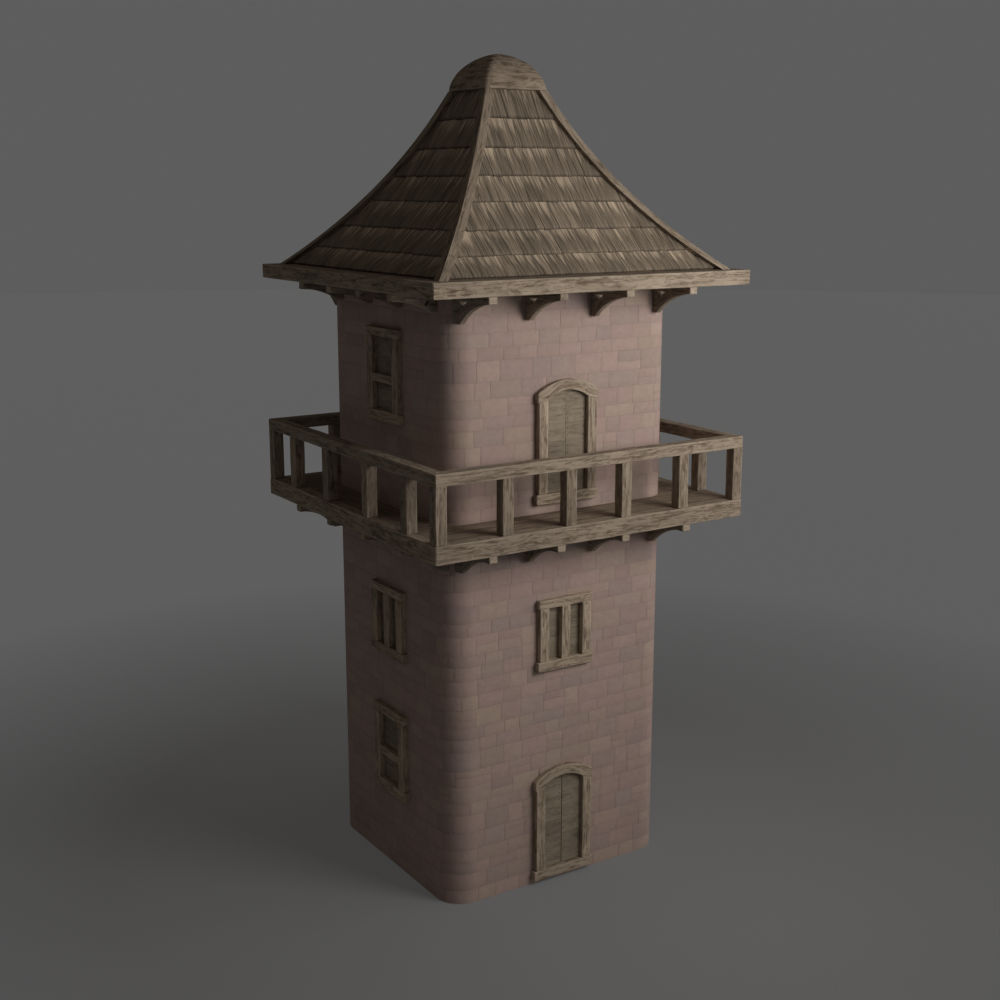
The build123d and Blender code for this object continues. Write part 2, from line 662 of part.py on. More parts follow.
def all_nodes():
    """Every node's name and its solids."""
    nodes = {"corner_piers": corner_piers()}
    nodes["front_wall_piers"] = on_wall(wall_piers(INNER_X, 0.0), WALL_Y / 2, 0)
    nodes["front_wall_bands"] = on_wall(wall_bands(front_holes(), 0.0), WALL_Y / 2, 0)
    nodes["back_wall_piers"] = on_wall(wall_piers(INNER_X, 0.0), WALL_Y / 2, 180)
    nodes["back_wall_bands"] = on_wall(wall_bands(side_holes(), 0.0), WALL_Y / 2, 180)
    nodes["side_wall_piers"] = []
    nodes["side_wall_bands"] = []
    for side, degrees, reach in sides():
        if side in ("left", "right"):
            shift = window_shift(side)
            nodes["side_wall_piers"] += on_wall(wall_piers(INNER_Y, shift), reach, degrees)
            nodes["side_wall_bands"] += on_wall(wall_bands(side_holes(), shift), reach, degrees)

    nodes["ground_floor"] = floor_slab(GROUND_FLOOR_TOP, GROUND_FLOOR_TOP)
    nodes["first_floor"] = floor_slab(FIRST_FLOOR_TOP, TIMBER_FLOOR_THICK)
    nodes["upper_floor"] = floor_slab(DECK_TOP, TIMBER_FLOOR_THICK)

    reach = WALL_Y / 2
    door_sills = (GROUND_SILL_BOTTOM, BALCONY_SILL_BOTTOM)
    nodes["door_jambs"] = on_wall([p for z in door_sills for p in door_jambs(z)], reach, 0)
    nodes["door_heads"] = on_wall([p for z in door_sills for p in door_head(z)], reach, 0)
    nodes["door_sills"] = on_wall([sill(DOOR_HALF + JAMB_WIDTH, z) for z in door_sills], reach, 0)
    upper_leaf = leaf_right(BALCONY_SILL_BOTTOM, SEAT_GAP, SEAT_GAP, 2 * SEAT_GAP)
    nodes["balcony_door_leaves"] = on_wall([upper_leaf, mirror(upper_leaf, Plane.YZ)], reach, 0)
    leaf = leaf_right(GROUND_SILL_BOTTOM, LEAF_GAP, LEAF_TOP_GAP, LEAF_MEETING_GAP)
    straps = [strap_right(z) for z in strap_heights(GROUND_SILL_BOTTOM)]
    pintles = [pintle_right(z) for z in strap_heights(GROUND_SILL_BOTTOM)]
    nodes["door_leaf_right"] = on_wall([leaf], reach, 0)
    nodes["door_leaf_left"] = on_wall([mirror(leaf, Plane.YZ)], reach, 0)
    nodes["door_straps_right"] = on_wall(straps, reach, 0)
    nodes["door_straps_left"] = on_wall([mirror(s, Plane.YZ) for s in straps], reach, 0)
    nodes["door_pintles"] = on_wall(pintles + [mirror(s, Plane.YZ) for s in pintles], reach, 0)

    nodes.update(windows())

    front_back, left_right = balcony_decks()
    nodes["balcony_decks_front_back"] = front_back
    nodes["balcony_decks_sides"] = left_right
    nodes["balcony_joists"] = balcony_joists()
    beam = [mitred_bar(BALCONY_HALF, BALCONY_BEAM_WIDTH, BALCONY_BEAM_BOTTOM, DECK_TOP)]
    nodes["balcony_beams_front_back"] = beam + turned(beam, 180)
    nodes["balcony_beams_sides"] = turned(beam, 90) + turned(beam, 270)
    rail = [mitred_bar(BALCONY_HALF - POST_SETBACK, RAIL_WIDTH, RAIL_TOP - RAIL_HEIGHT, RAIL_TOP)]
    nodes["handrails_front_back"] = rail + turned(rail, 180)
    nodes["handrails_sides"] = turned(rail, 90) + turned(rail, 270)
    nodes["corner_posts"] = corner_posts()
    nodes["rail_posts"] = rail_posts()
    nodes["balcony_bracket_arms"], nodes["balcony_bracket_braces"] = brackets(
        BALCONY_BEAM_BOTTOM, BALCONY_HALF, "balcony")

    eave = [mitred_bar(EAVE_HALF, EAVE_WIDTH, WALL_TOP, EAVE_TOP)]
    nodes["eave_beams_front_back"] = eave + turned(eave, 180)
    nodes["eave_beams_sides"] = turned(eave, 90) + turned(eave, 270)
    inner = EAVE_HALF - EAVE_WIDTH
    nodes["roof_floor"] = [block(-inner, inner, -inner, inner, WALL_TOP, WALL_TOP + ROOF_FLOOR_THICK)]
    nodes["eave_bracket_arms"], nodes["eave_bracket_braces"] = brackets(WALL_TOP, EAVE_HALF, "eaves")
    slope = [roof_slope()]
    nodes["roof_slopes_front_back"] = slope + turned(slope, 180)
    nodes["roof_slopes_sides"] = turned(slope, 90) + turned(slope, 270)
    nodes["hip_boards"] = hip_boards()
    nodes["roof_cap"] = roof_cap()
    return nodes


def main():
    """Write each node to its own STEP file."""
    os.makedirs("parts", exist_ok=True)
    for name, solids in all_nodes().items():
        shape = solids[0] if len(solids) == 1 else Compound(children=list(solids))
        export_step(shape, os.path.join("parts", name + ".step"))
        print(name, len(solids))


main()
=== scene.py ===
"""The finished looks of the stone watchtower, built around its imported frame.

Sizes are in metres, in the frame's own axes: +Z is up and the wall with the doors faces -Y.
"""

import logging
import math
import random
from dataclasses import dataclass
from enum import Enum
from typing import Callable, Iterable, Sequence

import bmesh
import bpy
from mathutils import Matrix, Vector, noise


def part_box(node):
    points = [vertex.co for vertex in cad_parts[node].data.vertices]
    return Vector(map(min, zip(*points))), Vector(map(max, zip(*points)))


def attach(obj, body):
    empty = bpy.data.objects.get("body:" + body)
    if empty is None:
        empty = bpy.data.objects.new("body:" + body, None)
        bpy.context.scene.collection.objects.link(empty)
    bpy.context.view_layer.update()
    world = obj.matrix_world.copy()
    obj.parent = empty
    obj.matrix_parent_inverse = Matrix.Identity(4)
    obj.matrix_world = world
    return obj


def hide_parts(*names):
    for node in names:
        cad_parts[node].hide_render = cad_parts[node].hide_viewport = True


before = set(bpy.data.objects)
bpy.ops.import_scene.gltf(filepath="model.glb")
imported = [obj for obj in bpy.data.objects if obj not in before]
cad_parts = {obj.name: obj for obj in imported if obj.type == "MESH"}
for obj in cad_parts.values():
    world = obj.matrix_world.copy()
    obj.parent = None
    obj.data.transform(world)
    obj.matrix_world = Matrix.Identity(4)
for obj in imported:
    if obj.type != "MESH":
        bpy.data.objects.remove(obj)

LOG = logging.getLogger("watchtower")
TOWER = "tower"
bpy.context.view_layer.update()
TINY = 1e-6  # smaller than any size here: guards divisions by a length and the ends of the courses

Quad = tuple[Vector, Vector, Vector, Vector]
Place = Callable[[float, float, float], Vector]
Colour = tuple[float, float, float]
Stops = Sequence[tuple[float, Colour]]


class Slot(Enum):
    """Material slots, by name."""

    WALL = "wall_stone"
    FLOOR = "floor_stone"
    TIMBER = "weathered_timber"
    DECK = "deck_boards"
    DOOR = "door_boards"
    IRON = "hinge_iron"
    ROOF = "roof_shingles"


class Side(Enum):
    """The four walls, each with its turn about the tower's axis in degrees."""

    FRONT = 0
    RIGHT = 90
    BACK = 180
    LEFT = 270

    @property
    def turns(self) -> int:
        """How many quarter turns the wall is from the front."""
        return self.value // 90

    @property
    def faces_y(self) -> bool:
        """Whether the wall looks along the frame's Y axis."""
        return self.turns % 2 == 0

    @property
    def hand(self) -> int:
        """1 where places along the wall grow with the frame's own axis, and -1 where they fall."""
        return 1 if self.turns < 2 else -1


class Pair(Enum):
    """Two walls that face each other, whose like timbers are one piece, and the pair's own seed."""

    FRONT_BACK = ("front_back", (Side.FRONT, Side.BACK), 10)
    SIDES = ("sides", (Side.RIGHT, Side.LEFT), 5)

    def __init__(self, label: str, sides: tuple[Side, Side], seed: int) -> None:
        """Keeps what the pair is given.

        Args:
            label: Its part of the names of pieces and nodes.
            sides: Its two walls.
            seed: What it adds to a piece's seed.
        """
        self.label = label
        self.sides = sides
        self.seed = seed


# ---- small geometry ----


def circle_through(a: Vector, b: Vector, c: Vector) -> tuple[float, float, float]:
    """The circle through three points of a plane.

    Args:
        a: First point.
        b: Second point.
        c: Third point.

    Returns:
        The centre's two coordinates and the radius.
    """
    d = 2 * (a.x * (b.y - c.y) + b.x * (c.y - a.y) + c.x * (a.y - b.y))
    aa, bb, cc = a.length_squared, b.length_squared, c.length_squared
    x = (aa * (b.y - c.y) + bb * (c.y - a.y) + cc * (a.y - b.y)) / d
    y = (aa * (c.x - b.x) + bb * (a.x - c.x) + cc * (b.x - a.x)) / d
    return x, y, math.hypot(a.x - x, a.y - y)


def arc_points(a: Vector, b: Vector, c: Vector, count: int) -> list[Vector]:
    """Points evenly spaced on the arc from a through b to c.

    Args:
        a: Start of the arc.
        b: A point on it.
        c: End of the arc.
        count: How many steps to take.

    Returns:
        count + 1 points, with both ends.
    """
    x, y, radius = circle_through(a, b, c)
    start, middle, end = (math.atan2(p.y - y, p.x - x) for p in (a, b, c))
    sweep = (end - start) % math.tau
    if (middle - start) % math.tau > sweep:
        sweep -= math.tau
    angles = [start + sweep * i / count for i in range(count + 1)]
    return [Vector((x + radius * math.cos(t), y + radius * math.sin(t))) for t in angles]


def between(a: Quad, b: Quad, t: float) -> Quad:
    """The section a share t of the way from section a to section b."""
    return tuple(p.lerp(q, t) for p, q in zip(a, b))


def middle_of(quad: Quad) -> Vector:
    """The centre of a section."""
    return (quad[0] + quad[1] + quad[2] + quad[3]) / 4


def wall_place(side: Side, reach: float) -> Place:
    """Coordinates of one wall: along it, out from its face, and up.

    Args:
        side: Which wall.
        reach: The distance of its face from the tower's axis.

    Returns:
        A function from those three to a point of the frame.
    """
    turn = math.radians(side.value)
    cos, sin = math.cos(turn), math.sin(turn)

    def at(along: float, out: float, up: float) -> Vector:
        """The frame's point for a place on this wall."""
        y = -reach - out
        return Vector((along * cos - y * sin, along * sin + y * cos, up))

    return at


def wall_reach(side: Side) -> float:
    """The distance of a wall's face from the tower's axis."""
    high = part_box("corner_piers")[1]
    return high.y if side.faces_y else high.x


def wall_width(side: Side) -> float:
    """The width of a wall."""
    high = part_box("corner_piers")[1]
    return 2 * (high.x if side.faces_y else high.y)


def on_wall(side: Side) -> Place:
    """The coordinates of a wall's own face."""
    return wall_place(side, wall_reach(side))


# ---- meshes ----


def tube(size: int, rings: int, first: int = 0) -> list[Sequence[int]]:
    """The faces of a tube.

    Args:
        size: Points in each of its rings.
        rings: How many rings it has.
        first: The number of its first point.

    Returns:
        Four-cornered faces from each ring to the next.
    """
    faces: list[Sequence[int]] = []
    for k in range(rings - 1):
        a, b = first + k * size, first + (k + 1) * size
        for i in range(size):
            j = (i + 1) % size
            faces.append((a + i, a + j, b + j, b + i))
    return faces


@dataclass(frozen=True)
class Dressing:
    """How one kind of timber is worked and worn.

    chamfer is the width of its rubbed-off edges, wave how far its faces swell and dip, span the
    distance between rings along it, and across where each face is divided. most_rub is the
    largest share of a narrow face that wear takes, and most_end that of the first and last span.
    """

    chamfer: float = 0.012
    wave: float = 0.006
    span: float = 0.20
    across: tuple[float, ...] = (0.14, 0.5, 0.86)
    most_rub: float = 0.3
    most_end: float = 0.4


TRIMMED = Dressing()
BOARDED = Dressing(chamfer=0.005, wave=0.0012, span=0.25, across=(0.5,))
DECKED = Dressing(chamfer=0.006, wave=0.003, span=0.4, across=(0.5,))
BENT = Dressing(wave=0.004, span=0.3, across=(0.5,))
SPLIT = Dressing(chamfer=0.004, wave=0.003, span=2.0, across=(0.5,))
HIPPED = Dressing(chamfer=0.010, wave=0.005, span=1.0)


class Work:
    """The points and faces of one piece, gathered solid by solid.

    nail_sides is how many sides a nail's head has, nail_crown how far its top stands out, and
    nail_levels each level's width and its stand, all in shares of the head's radius.
    """

    nail_sides = 10
    nail_crown = 0.55
    nail_levels = ((0.55, 0.46), (1.0, 0.12), (1.0, -0.3))

    def __init__(self, seed: int) -> None:
        """Starts an empty piece.

        Args:
            seed: Where its chance values start.
        """
        self.chance = random.Random(seed)
        self.points: list[Vector] = []
        self.faces: list[tuple[int, ...]] = []
        self.grain: list[Vector] = []
        self.worn: list[float] = []
        self.tone: list[float] = []
        self.hue: list[float] = []

    def shift(self) -> Vector:
        """A chance place in the grain, so that no two solids look alike."""
        return Vector([self.chance.uniform(0, 60) for _ in range(3)])

    def add(self, points: Iterable[Vector], grain: Iterable[Vector], worn: Iterable[float],
            faces: Iterable[Sequence[int]]) -> None:
        """Adds one solid.

        Args:
            points: Its points.
            grain: Each point's place in the grain.
            worn: How worn each point is, from 0 to 1.
            faces: Its faces, as numbers of its own points.
        """
        first = len(self.points)
        self.points.extend(points)
        self.grain.extend(grain)
        self.worn.extend(worn)
        self.faces.extend(tuple(first + i for i in face) for face in faces)
        added = len(self.points) - first
        self.tone.extend([self.chance.random()] * added)
        self.hue.extend([self.chance.random()] * added)

    def timber(self, sections: Sequence[Quad], dressing: Dressing) -> None:
        """Adds a timber that runs through the given sections.

        Args:
            sections: Its four corners at each place along it.
            dressing: How it is worked.
        """
        rings = self._stations(sections, dressing)
        shift = self.shift()
        points: list[Vector] = []
        grain: list[Vector] = []
        worn: list[float] = []
        along = 0.0
        last = middle_of(rings[0][0])
        for quad, shrink in rings:
            centre = middle_of(quad)
            along += (centre - last).length
            last = centre
            for point, place, wear in self._ring(quad, shrink, dressing, along, shift):
                points.append(point)
                grain.append(place)
                worn.append(wear)
        size = len(points) // len(rings)
        faces: list[Sequence[int]] = [range(size), range(len(points) - size, len(points))]
        self.add(points, grain, worn, faces + tube(size, len(rings)))

    def _stations(self, sections: Sequence[Quad], dressing: Dressing) -> list[tuple[Quad, float]]:
        """The sections in even steps, with both ends drawn in to a chamfer.

        Args:
            sections: The timber's sections.
            dressing: How it is worked.

        Returns:
            Pairs of a section and how far it is drawn in.
        """
        quads: list[Quad] = []
        for a, b in zip(sections, sections[1:]):
            steps = max(1, round((middle_of(b) - middle_of(a)).length / dressing.span))
            quads.extend(between(a, b, i / steps) for i in range(steps))
        quads.append(sections[-1])
        head = dressing.chamfer / max((middle_of(quads[1]) - middle_of(quads[0])).length, TINY)
        tail = dressing.chamfer / max((middle_of(quads[-1]) - middle_of(quads[-2])).length, TINY)
        first = between(quads[0], quads[1], min(dressing.most_end, head))
        final = between(quads[-1], quads[-2], min(dressing.most_end, tail))
        full = [(quad, 0.0) for quad in [first, *quads[1:-1], final]]
        return [(quads[0], dressing.chamfer), *full, (quads[-1], dressing.chamfer)]

    def _ring(self, quad: Quad, shrink: float, dressing: Dressing, along: float,
              shift: Vector) -> list[tuple[Vector, Vector, float]]:
        """One ring of points round a section.

        Args:
            quad: The section's corners.
            shrink: How far the ring is drawn in.
            dressing: How the timber is worked.
            along: The section's distance along the timber.
            shift: The timber's place in the grain.

        Returns:
            Each point, its place in the grain and how worn it is.
        """
        centre = middle_of(quad)
        edges = [quad[(i + 1) % 4] - quad[i] for i in range(4)]
        lengths = [max(edge.length, TINY) for edge in edges]
        unit = [edge / length for edge, length in zip(edges, lengths)]
        most = min(lengths) * dressing.most_rub
        shrink = min(shrink, most)
        corners = [quad[i] + (unit[i] - unit[i - 1]) * shrink for i in range(4)]
        ring = []
        for i in range(4):
            start, edge = corners[i], corners[(i + 1) % 4] - corners[i]
            length = max(edge.length, TINY)
            rub = []
            for corner in (i, (i + 1) % 4):
                chip = noise.noise(Vector((along * 3.1, 7.3 * corner, shift.x)))
                rub.append(min(dressing.chamfer * (0.85 + 0.8 * chip), most))
            spots = [(rub[0] / length, 1.0), *((s, 0.0) for s in dressing.across),
                     (1 - rub[1] / length, 1.0)]
            for share, wear in spots:
                point = start + edge * share
                from_corner = point - quad[0]
                place = Vector((along, from_corner.dot(unit[0]), -from_corner.dot(unit[3]))) + shift
                swell = noise.noise(Vector((place.x * 2.3, place.y * 5.0, place.z * 5.0)))
                point = point + (point - centre).normalized() * (swell * dressing.wave)
                ring.append((point, place, 1.0 if shrink else wear))
        return ring

    def block(self, at: Place, low: Sequence[float], high: Sequence[float], axis: int,
              dressing: Dressing) -> None:
        """Adds a straight timber between two corners.

        Args:
            at: The coordinates that the corners are given in.
            low: The lowest corner.
            high: The highest corner.
            axis: Which of the three coordinates it runs along.
            dressing: How it is worked.
        """
        p, q = [k for k in range(3) if k != axis]
        ends = []
        for end in (low[axis], high[axis]):
            corners = []
            for u, v in ((low[p], low[q]), (high[p], low[q]), (high[p], high[q]), (low[p], high[q])):
                spot = [0.0, 0.0, 0.0]
                spot[axis], spot[p], spot[q] = end, u, v
                corners.append(at(*spot))
            ends.append(tuple(corners))
        self.timber(ends, dressing)

    def nail(self, at: Place, along: float, out: float, up: float, radius: float) -> None:
        """Adds a domed nail head that stands out from a face.

        Args:
            at: The wall's coordinates.
            along: The nail's place along the wall.
            out: The face's distance out from the wall.
            up: The nail's height.
            radius: The head's radius.
        """
        count = self.nail_sides
        points = [at(along, out + radius * self.nail_crown, up)]
        for share, rise in self.nail_levels:
            for k in range(count):
                turn = math.tau * k / count
                points.append(at(along + radius * share * math.cos(turn), out + radius * rise,
                                 up + radius * share * math.sin(turn)))
        faces: list[Sequence[int]] = [(0, 1 + k, 1 + (k + 1) % count) for k in range(count)]
        faces += tube(count, len(self.nail_levels), first=1)
        faces.append(range(len(points) - count, len(points)))
        shift = self.shift()
        self.add(points, [p + shift for p in points], [0.5] * len(points), faces)

    def piece(self, name: str, finish: "Finish", slot: Slot, body: str = TOWER,
              stands_for: Sequence[str] = (), crease: float = 34.0) -> None:
        """Makes the gathered solids one piece of the model.

        Args:
            name: The piece's name.
            finish: What it is made of.
            slot: A material slot for that; not used.
            body: The body it rides on.
            stands_for: The frame's nodes that it replaces.
            crease: Edges sharper than this many degrees stay sharp.
        """
        mesh = bpy.data.meshes.new(name)
        mesh.from_pydata([tuple(p) for p in self.points], [], self.faces)
        for label, values in (("worn", self.worn), ("tone", self.tone), ("hue", self.hue)):
            mesh.attributes.new(label, "FLOAT", "POINT").data.foreach_set("value", values)
        flat = [x for place in self.grain for x in place]
        mesh.attributes.new("grain", "FLOAT_VECTOR", "POINT").data.foreach_set("vector", flat)
        shaped = bmesh.new()
        shaped.from_mesh(mesh)
        bmesh.ops.recalc_face_normals(shaped, faces=shaped.faces)
        shaped.to_mesh(mesh)
        shaped.free()
        mesh.polygons.foreach_set("use_smooth", [True] * len(mesh.polygons))
        mesh.set_sharp_from_angle(angle=math.radians(crease))
        mesh.materials.append(finish.material())
        piece = bpy.data.objects.new(name, mesh)
        bpy.context.scene.collection.objects.link(piece)
        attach(piece, body)
        if stands_for:
            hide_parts(*stands_for)
        LOG.info("%s: %d faces", name, len(mesh.polygons))


# ---- finishes ----


class Surface:
    """Lays and joins the nodes of one material."""

    def __init__(self, name: str) -> None:
        """Starts a material with a plain shader.

        Args:
            name: The material's name.
        """
        self.made = bpy.data.materials.new(name)
        self.made.use_nodes = True
        self.tree = self.made.node_tree
        self.shader = self.tree.nodes["Principled BSDF"]

    def node(self, kind: str, **settings: object) -> bpy.types.Node:
        """Adds a node.

        Args:
            kind: Its type.
            settings: Properties to set on it.

        Returns:
            The node.
        """
        node = self.tree.nodes.new(kind)
        for key, value in settings.items():
            setattr(node, key, value)
        return node

    def feed(self, socket: bpy.types.NodeSocket, value: object) -> None:
        """Joins a socket to another node's output, or sets it to a plain value.

        Args:
            socket: The socket.
            value: An output, a number or a colour.
        """
        if isinstance(value, bpy.types.NodeSocket):
            self.tree.links.new(value, socket)
        elif isinstance(value, tuple) and len(value) == 3 and socket.type == "RGBA":
            socket.default_value = (*value, 1.0)
        else:
            socket.default_value = value

    def read(self, name: str, output: str = "Fac") -> bpy.types.NodeSocket:
        """One of the values that each piece's points carry."""
        return self.node("ShaderNodeAttribute", attribute_name=name).outputs[output]

    def object_place(self) -> bpy.types.NodeSocket:
        """The place in the object's own coordinates."""
        return self.node("ShaderNodeTexCoord").outputs["Object"]

    def split(self, vector: bpy.types.NodeSocket) -> Sequence[bpy.types.NodeSocket]:
        """A vector's three coordinates.

        Args:
            vector: The vector.

        Returns:
            Its X, Y and Z.
        """
        node = self.node("ShaderNodeSeparateXYZ")
        self.feed(node.inputs[0], vector)
        return list(node.outputs)

    def grain(self, stretch: tuple[float, float, float]) -> bpy.types.NodeSocket:
        """The place in the grain.

        Args:
            stretch: How it is scaled along and across the grain.

        Returns:
            The scaled place.
        """
        node = self.node("ShaderNodeVectorMath", operation="MULTIPLY")
        self.feed(node.inputs[0], self.read("grain", "Vector"))
        node.inputs[1].default_value = stretch
        return node.outputs[0]

    def cloud(self, place: bpy.types.NodeSocket, scale: float, detail: float = 5.0,
              rough: float = 0.55, bend: float = 0.0) -> bpy.types.NodeSocket:
        """Soft random cloud.

        Args:
            place: Where it is read.
            scale: Its size.
            detail: How many finer layers it has.
            rough: How strong those are.
            bend: How far it is pulled about.

        Returns:
            A value about 0.5.
        """
        node = self.node("ShaderNodeTexNoise")
        self.feed(node.inputs["Vector"], place)
        for key, value in (("Scale", scale), ("Detail", detail), ("Roughness", rough),
                           ("Distortion", bend)):
            node.inputs[key].default_value = value
        return node.outputs["Fac"]

    def ramp(self, value: bpy.types.NodeSocket, stops: Stops) -> bpy.types.NodeSocket:
        """A colour chosen by a value.

        Args:
            value: What chooses.
            stops: The values that have a colour of their own, and those colours.

        Returns:
            The colour.
        """
        node = self.node("ShaderNodeValToRGB")
        marks = node.color_ramp.elements
        while len(marks) < len(stops):
            marks.new(0.5)
        for mark, (place, colour) in zip(marks, stops):
            mark.position = place
            mark.color = (*colour, 1.0)
        self.feed(node.inputs[0], value)
        return node.outputs[0]

    def step(self, value: bpy.types.NodeSocket, low: float, high: float, to_low: float = 0.0,
             to_high: float = 1.0) -> bpy.types.NodeSocket:
        """A value stretched from one range to another and held at its ends.

        Args:
            value: What is stretched.
            low: Start of its range.
            high: End of its range.
            to_low: What the start becomes.
            to_high: What the end becomes.

        Returns:
            The stretched value.
        """
        node = self.node("ShaderNodeMapRange")
        self.feed(node.inputs[0], value)
        for socket, number in zip(node.inputs[1:5], (low, high, to_low, to_high)):
            socket.default_value = number
        return node.outputs[0]

    def sum(self, operation: str, a: object, b: object) -> bpy.types.NodeSocket:
        """Arithmetic on two values.

        Args:
            operation: What is done with them.
            a: The first value.
            b: The second value.

        Returns:
            The result.
        """
        node = self.node("ShaderNodeMath", operation=operation)
        self.feed(node.inputs[0], a)
        self.feed(node.inputs[1], b)
        return node.outputs[0]

    def times(self, a: object, b: object) -> bpy.types.NodeSocket:
        """The product of two values."""
        return self.sum("MULTIPLY", a, b)

    def mix(self, share: object, a: object, b: object, blend: str = "MIX") -> bpy.types.NodeSocket:
        """Two colours put together.

        Args:
            share: How much of the second.
            a: The first colour.
            b: The second colour.
            blend: The way they are put together.

        Returns:
            The mixed colour.
        """
        node = self.node("ShaderNodeMix", data_type="RGBA", blend_type=blend)
        self.feed(node.inputs[0], share)
        self.feed(node.inputs[6], a)
        self.feed(node.inputs[7], b)
        return node.outputs[2]

    def shade(self, colour: bpy.types.NodeSocket, level: bpy.types.NodeSocket) -> bpy.types.NodeSocket:
        """A colour made lighter or darker.

        Args:
            colour: The colour.
            level: How light, about 1.

        Returns:
            The shaded colour.
        """
        node = self.node("ShaderNodeVectorMath", operation="SCALE")
        self.feed(node.inputs[0], colour)
        self.feed(node.inputs["Scale"], level)
        return node.outputs[0]

    def finish(self, colour: bpy.types.NodeSocket, rough: object, height: bpy.types.NodeSocket,
               depth: float) -> bpy.types.Material:
        """Joins the last values to the shader.

        Args:
            colour: The surface's colour.
            rough: Its roughness.
            height: Its fine relief, from 0 to 1.
            depth: How deep that relief is.

        Returns:
            The material.
        """
        bump = self.node("ShaderNodeBump")
        bump.inputs["Strength"].default_value = 1.0
        bump.inputs["Distance"].default_value = depth
        self.feed(bump.inputs["Height"], height)
        self.feed(self.shader.inputs["Normal"], bump.outputs[0])
        self.feed(self.shader.inputs["Base Color"], colour)
        self.feed(self.shader.inputs["Roughness"], rough)
        self.shader.inputs["Specular IOR Level"].default_value = 0.3
        return self.made


class Finish:
    """What a piece is made of. The material is made once and then shared."""

    made: dict["Finish", bpy.types.Material] = {}

    def material(self) -> bpy.types.Material:
        """Finds the finish's material, which is made the first time it is asked for.

        Returns:
            The material.
        """
        if self not in Finish.made:
            Finish.made[self] = self.build()
        return Finish.made[self]

    def build(self) -> bpy.types.Material:
        """Makes the material. Each kind of finish has its own way."""
        raise NotImplementedError


@dataclass(frozen=True)
class Timber(Finish):
    """Weathered timber with grain along it, dark checks and paler rubbed edges."""

    name: str
    dark: Colour
    middle: Colour
    pale: Colour
    edge: Colour
    edge_share: float = 0.55
    check_depth: float = 0.75
    relief: float = 0.010

    def build(self) -> bpy.types.Material:
        """Makes the material.

        Returns:
            The material.
        """
        s = Surface(self.name)
        fibre = s.cloud(s.grain((1.6, 17.0, 17.0)), 1.0, 6.0, 0.60, 1.0)
        band = s.cloud(s.grain((2.2, 6.0, 6.0)), 1.0, 5.0, 0.6, 2.4)
        check = s.cloud(s.grain((2.2, 26.0, 26.0)), 1.0, 3.0, 0.5, 1.0)
        patch = s.cloud(s.grain((1.5, 2.2, 2.2)), 1.0, 3.0, 0.5, 0.0)
        wood = s.ramp(fibre, ((0.26, self.dark), (0.42, self.middle), (0.60, self.pale)))
        bare = s.mix(s.step(band, 0.50, 0.60, 0.0, 0.75), wood, self.pale)
        tinted = s.mix(s.step(band, 0.34, 0.44, 0.60, 0.0), bare, self.dark)
        split = s.step(check, 0.63, 0.70)
        cracked = s.mix(s.times(split, self.check_depth), tinted, self.dark)
        rubbed = s.times(s.read("worn"), s.step(patch, 0.35, 0.62, 0.25, self.edge_share))
        edged = s.mix(rubbed, cracked, self.edge)
        level = s.times(s.step(patch, 0.3, 0.7, 0.86, 1.12), s.step(s.read("tone"), 0.0, 1.0, 0.88, 1.12))
        height = s.sum("SUBTRACT", s.sum("ADD", fibre, s.times(band, 0.6)), s.times(split, 0.35))
        return s.finish(s.shade(edged, level), s.step(fibre, 0.3, 0.7, 0.92, 0.74), height, self.relief)


@dataclass(frozen=True)
class Stone(Finish):
    """Dressed blocks in several near colours, with softly darker edges."""

    name: str
    rose: Colour
    sand: Colour
    slate: Colour
    edge_level: float = 0.90
    relief: float = 0.005

    def build(self) -> bpy.types.Material:
        """Makes the material.

        Returns:
            The material.
        """
        s = Surface(self.name)
        place = s.grain((1.0, 1.0, 1.0))
        mottle = s.cloud(place, 1.3, 5.0, 0.6, 0.3)
        speck = s.cloud(place, 42.0, 4.0, 0.65)
        rough = s.cloud(place, 9.0, 6.0, 0.6, 0.2)
        block = s.ramp(s.read("hue"), ((0.0, self.slate), (0.30, self.rose), (0.62, self.rose),
                                       (0.80, self.sand), (1.0, self.slate)))
        warmed = s.mix(s.step(mottle, 0.40, 0.62, 0.0, 0.45), block, self.sand)
        level = s.times(s.step(s.read("tone"), 0.0, 1.0, 0.93, 1.04),
                        s.times(s.step(speck, 0.3, 0.7, 0.95, 1.04), s.step(rough, 0.3, 0.7, 0.94, 1.05)))
        edge = s.step(s.read("worn"), 0.0, 1.0, 1.0, self.edge_level)
        height = s.sum("ADD", rough, s.times(speck, 0.28))
        return s.finish(s.shade(warmed, s.times(level, edge)), s.step(rough, 0.3, 0.7, 0.93, 0.8),
                        height, self.relief)


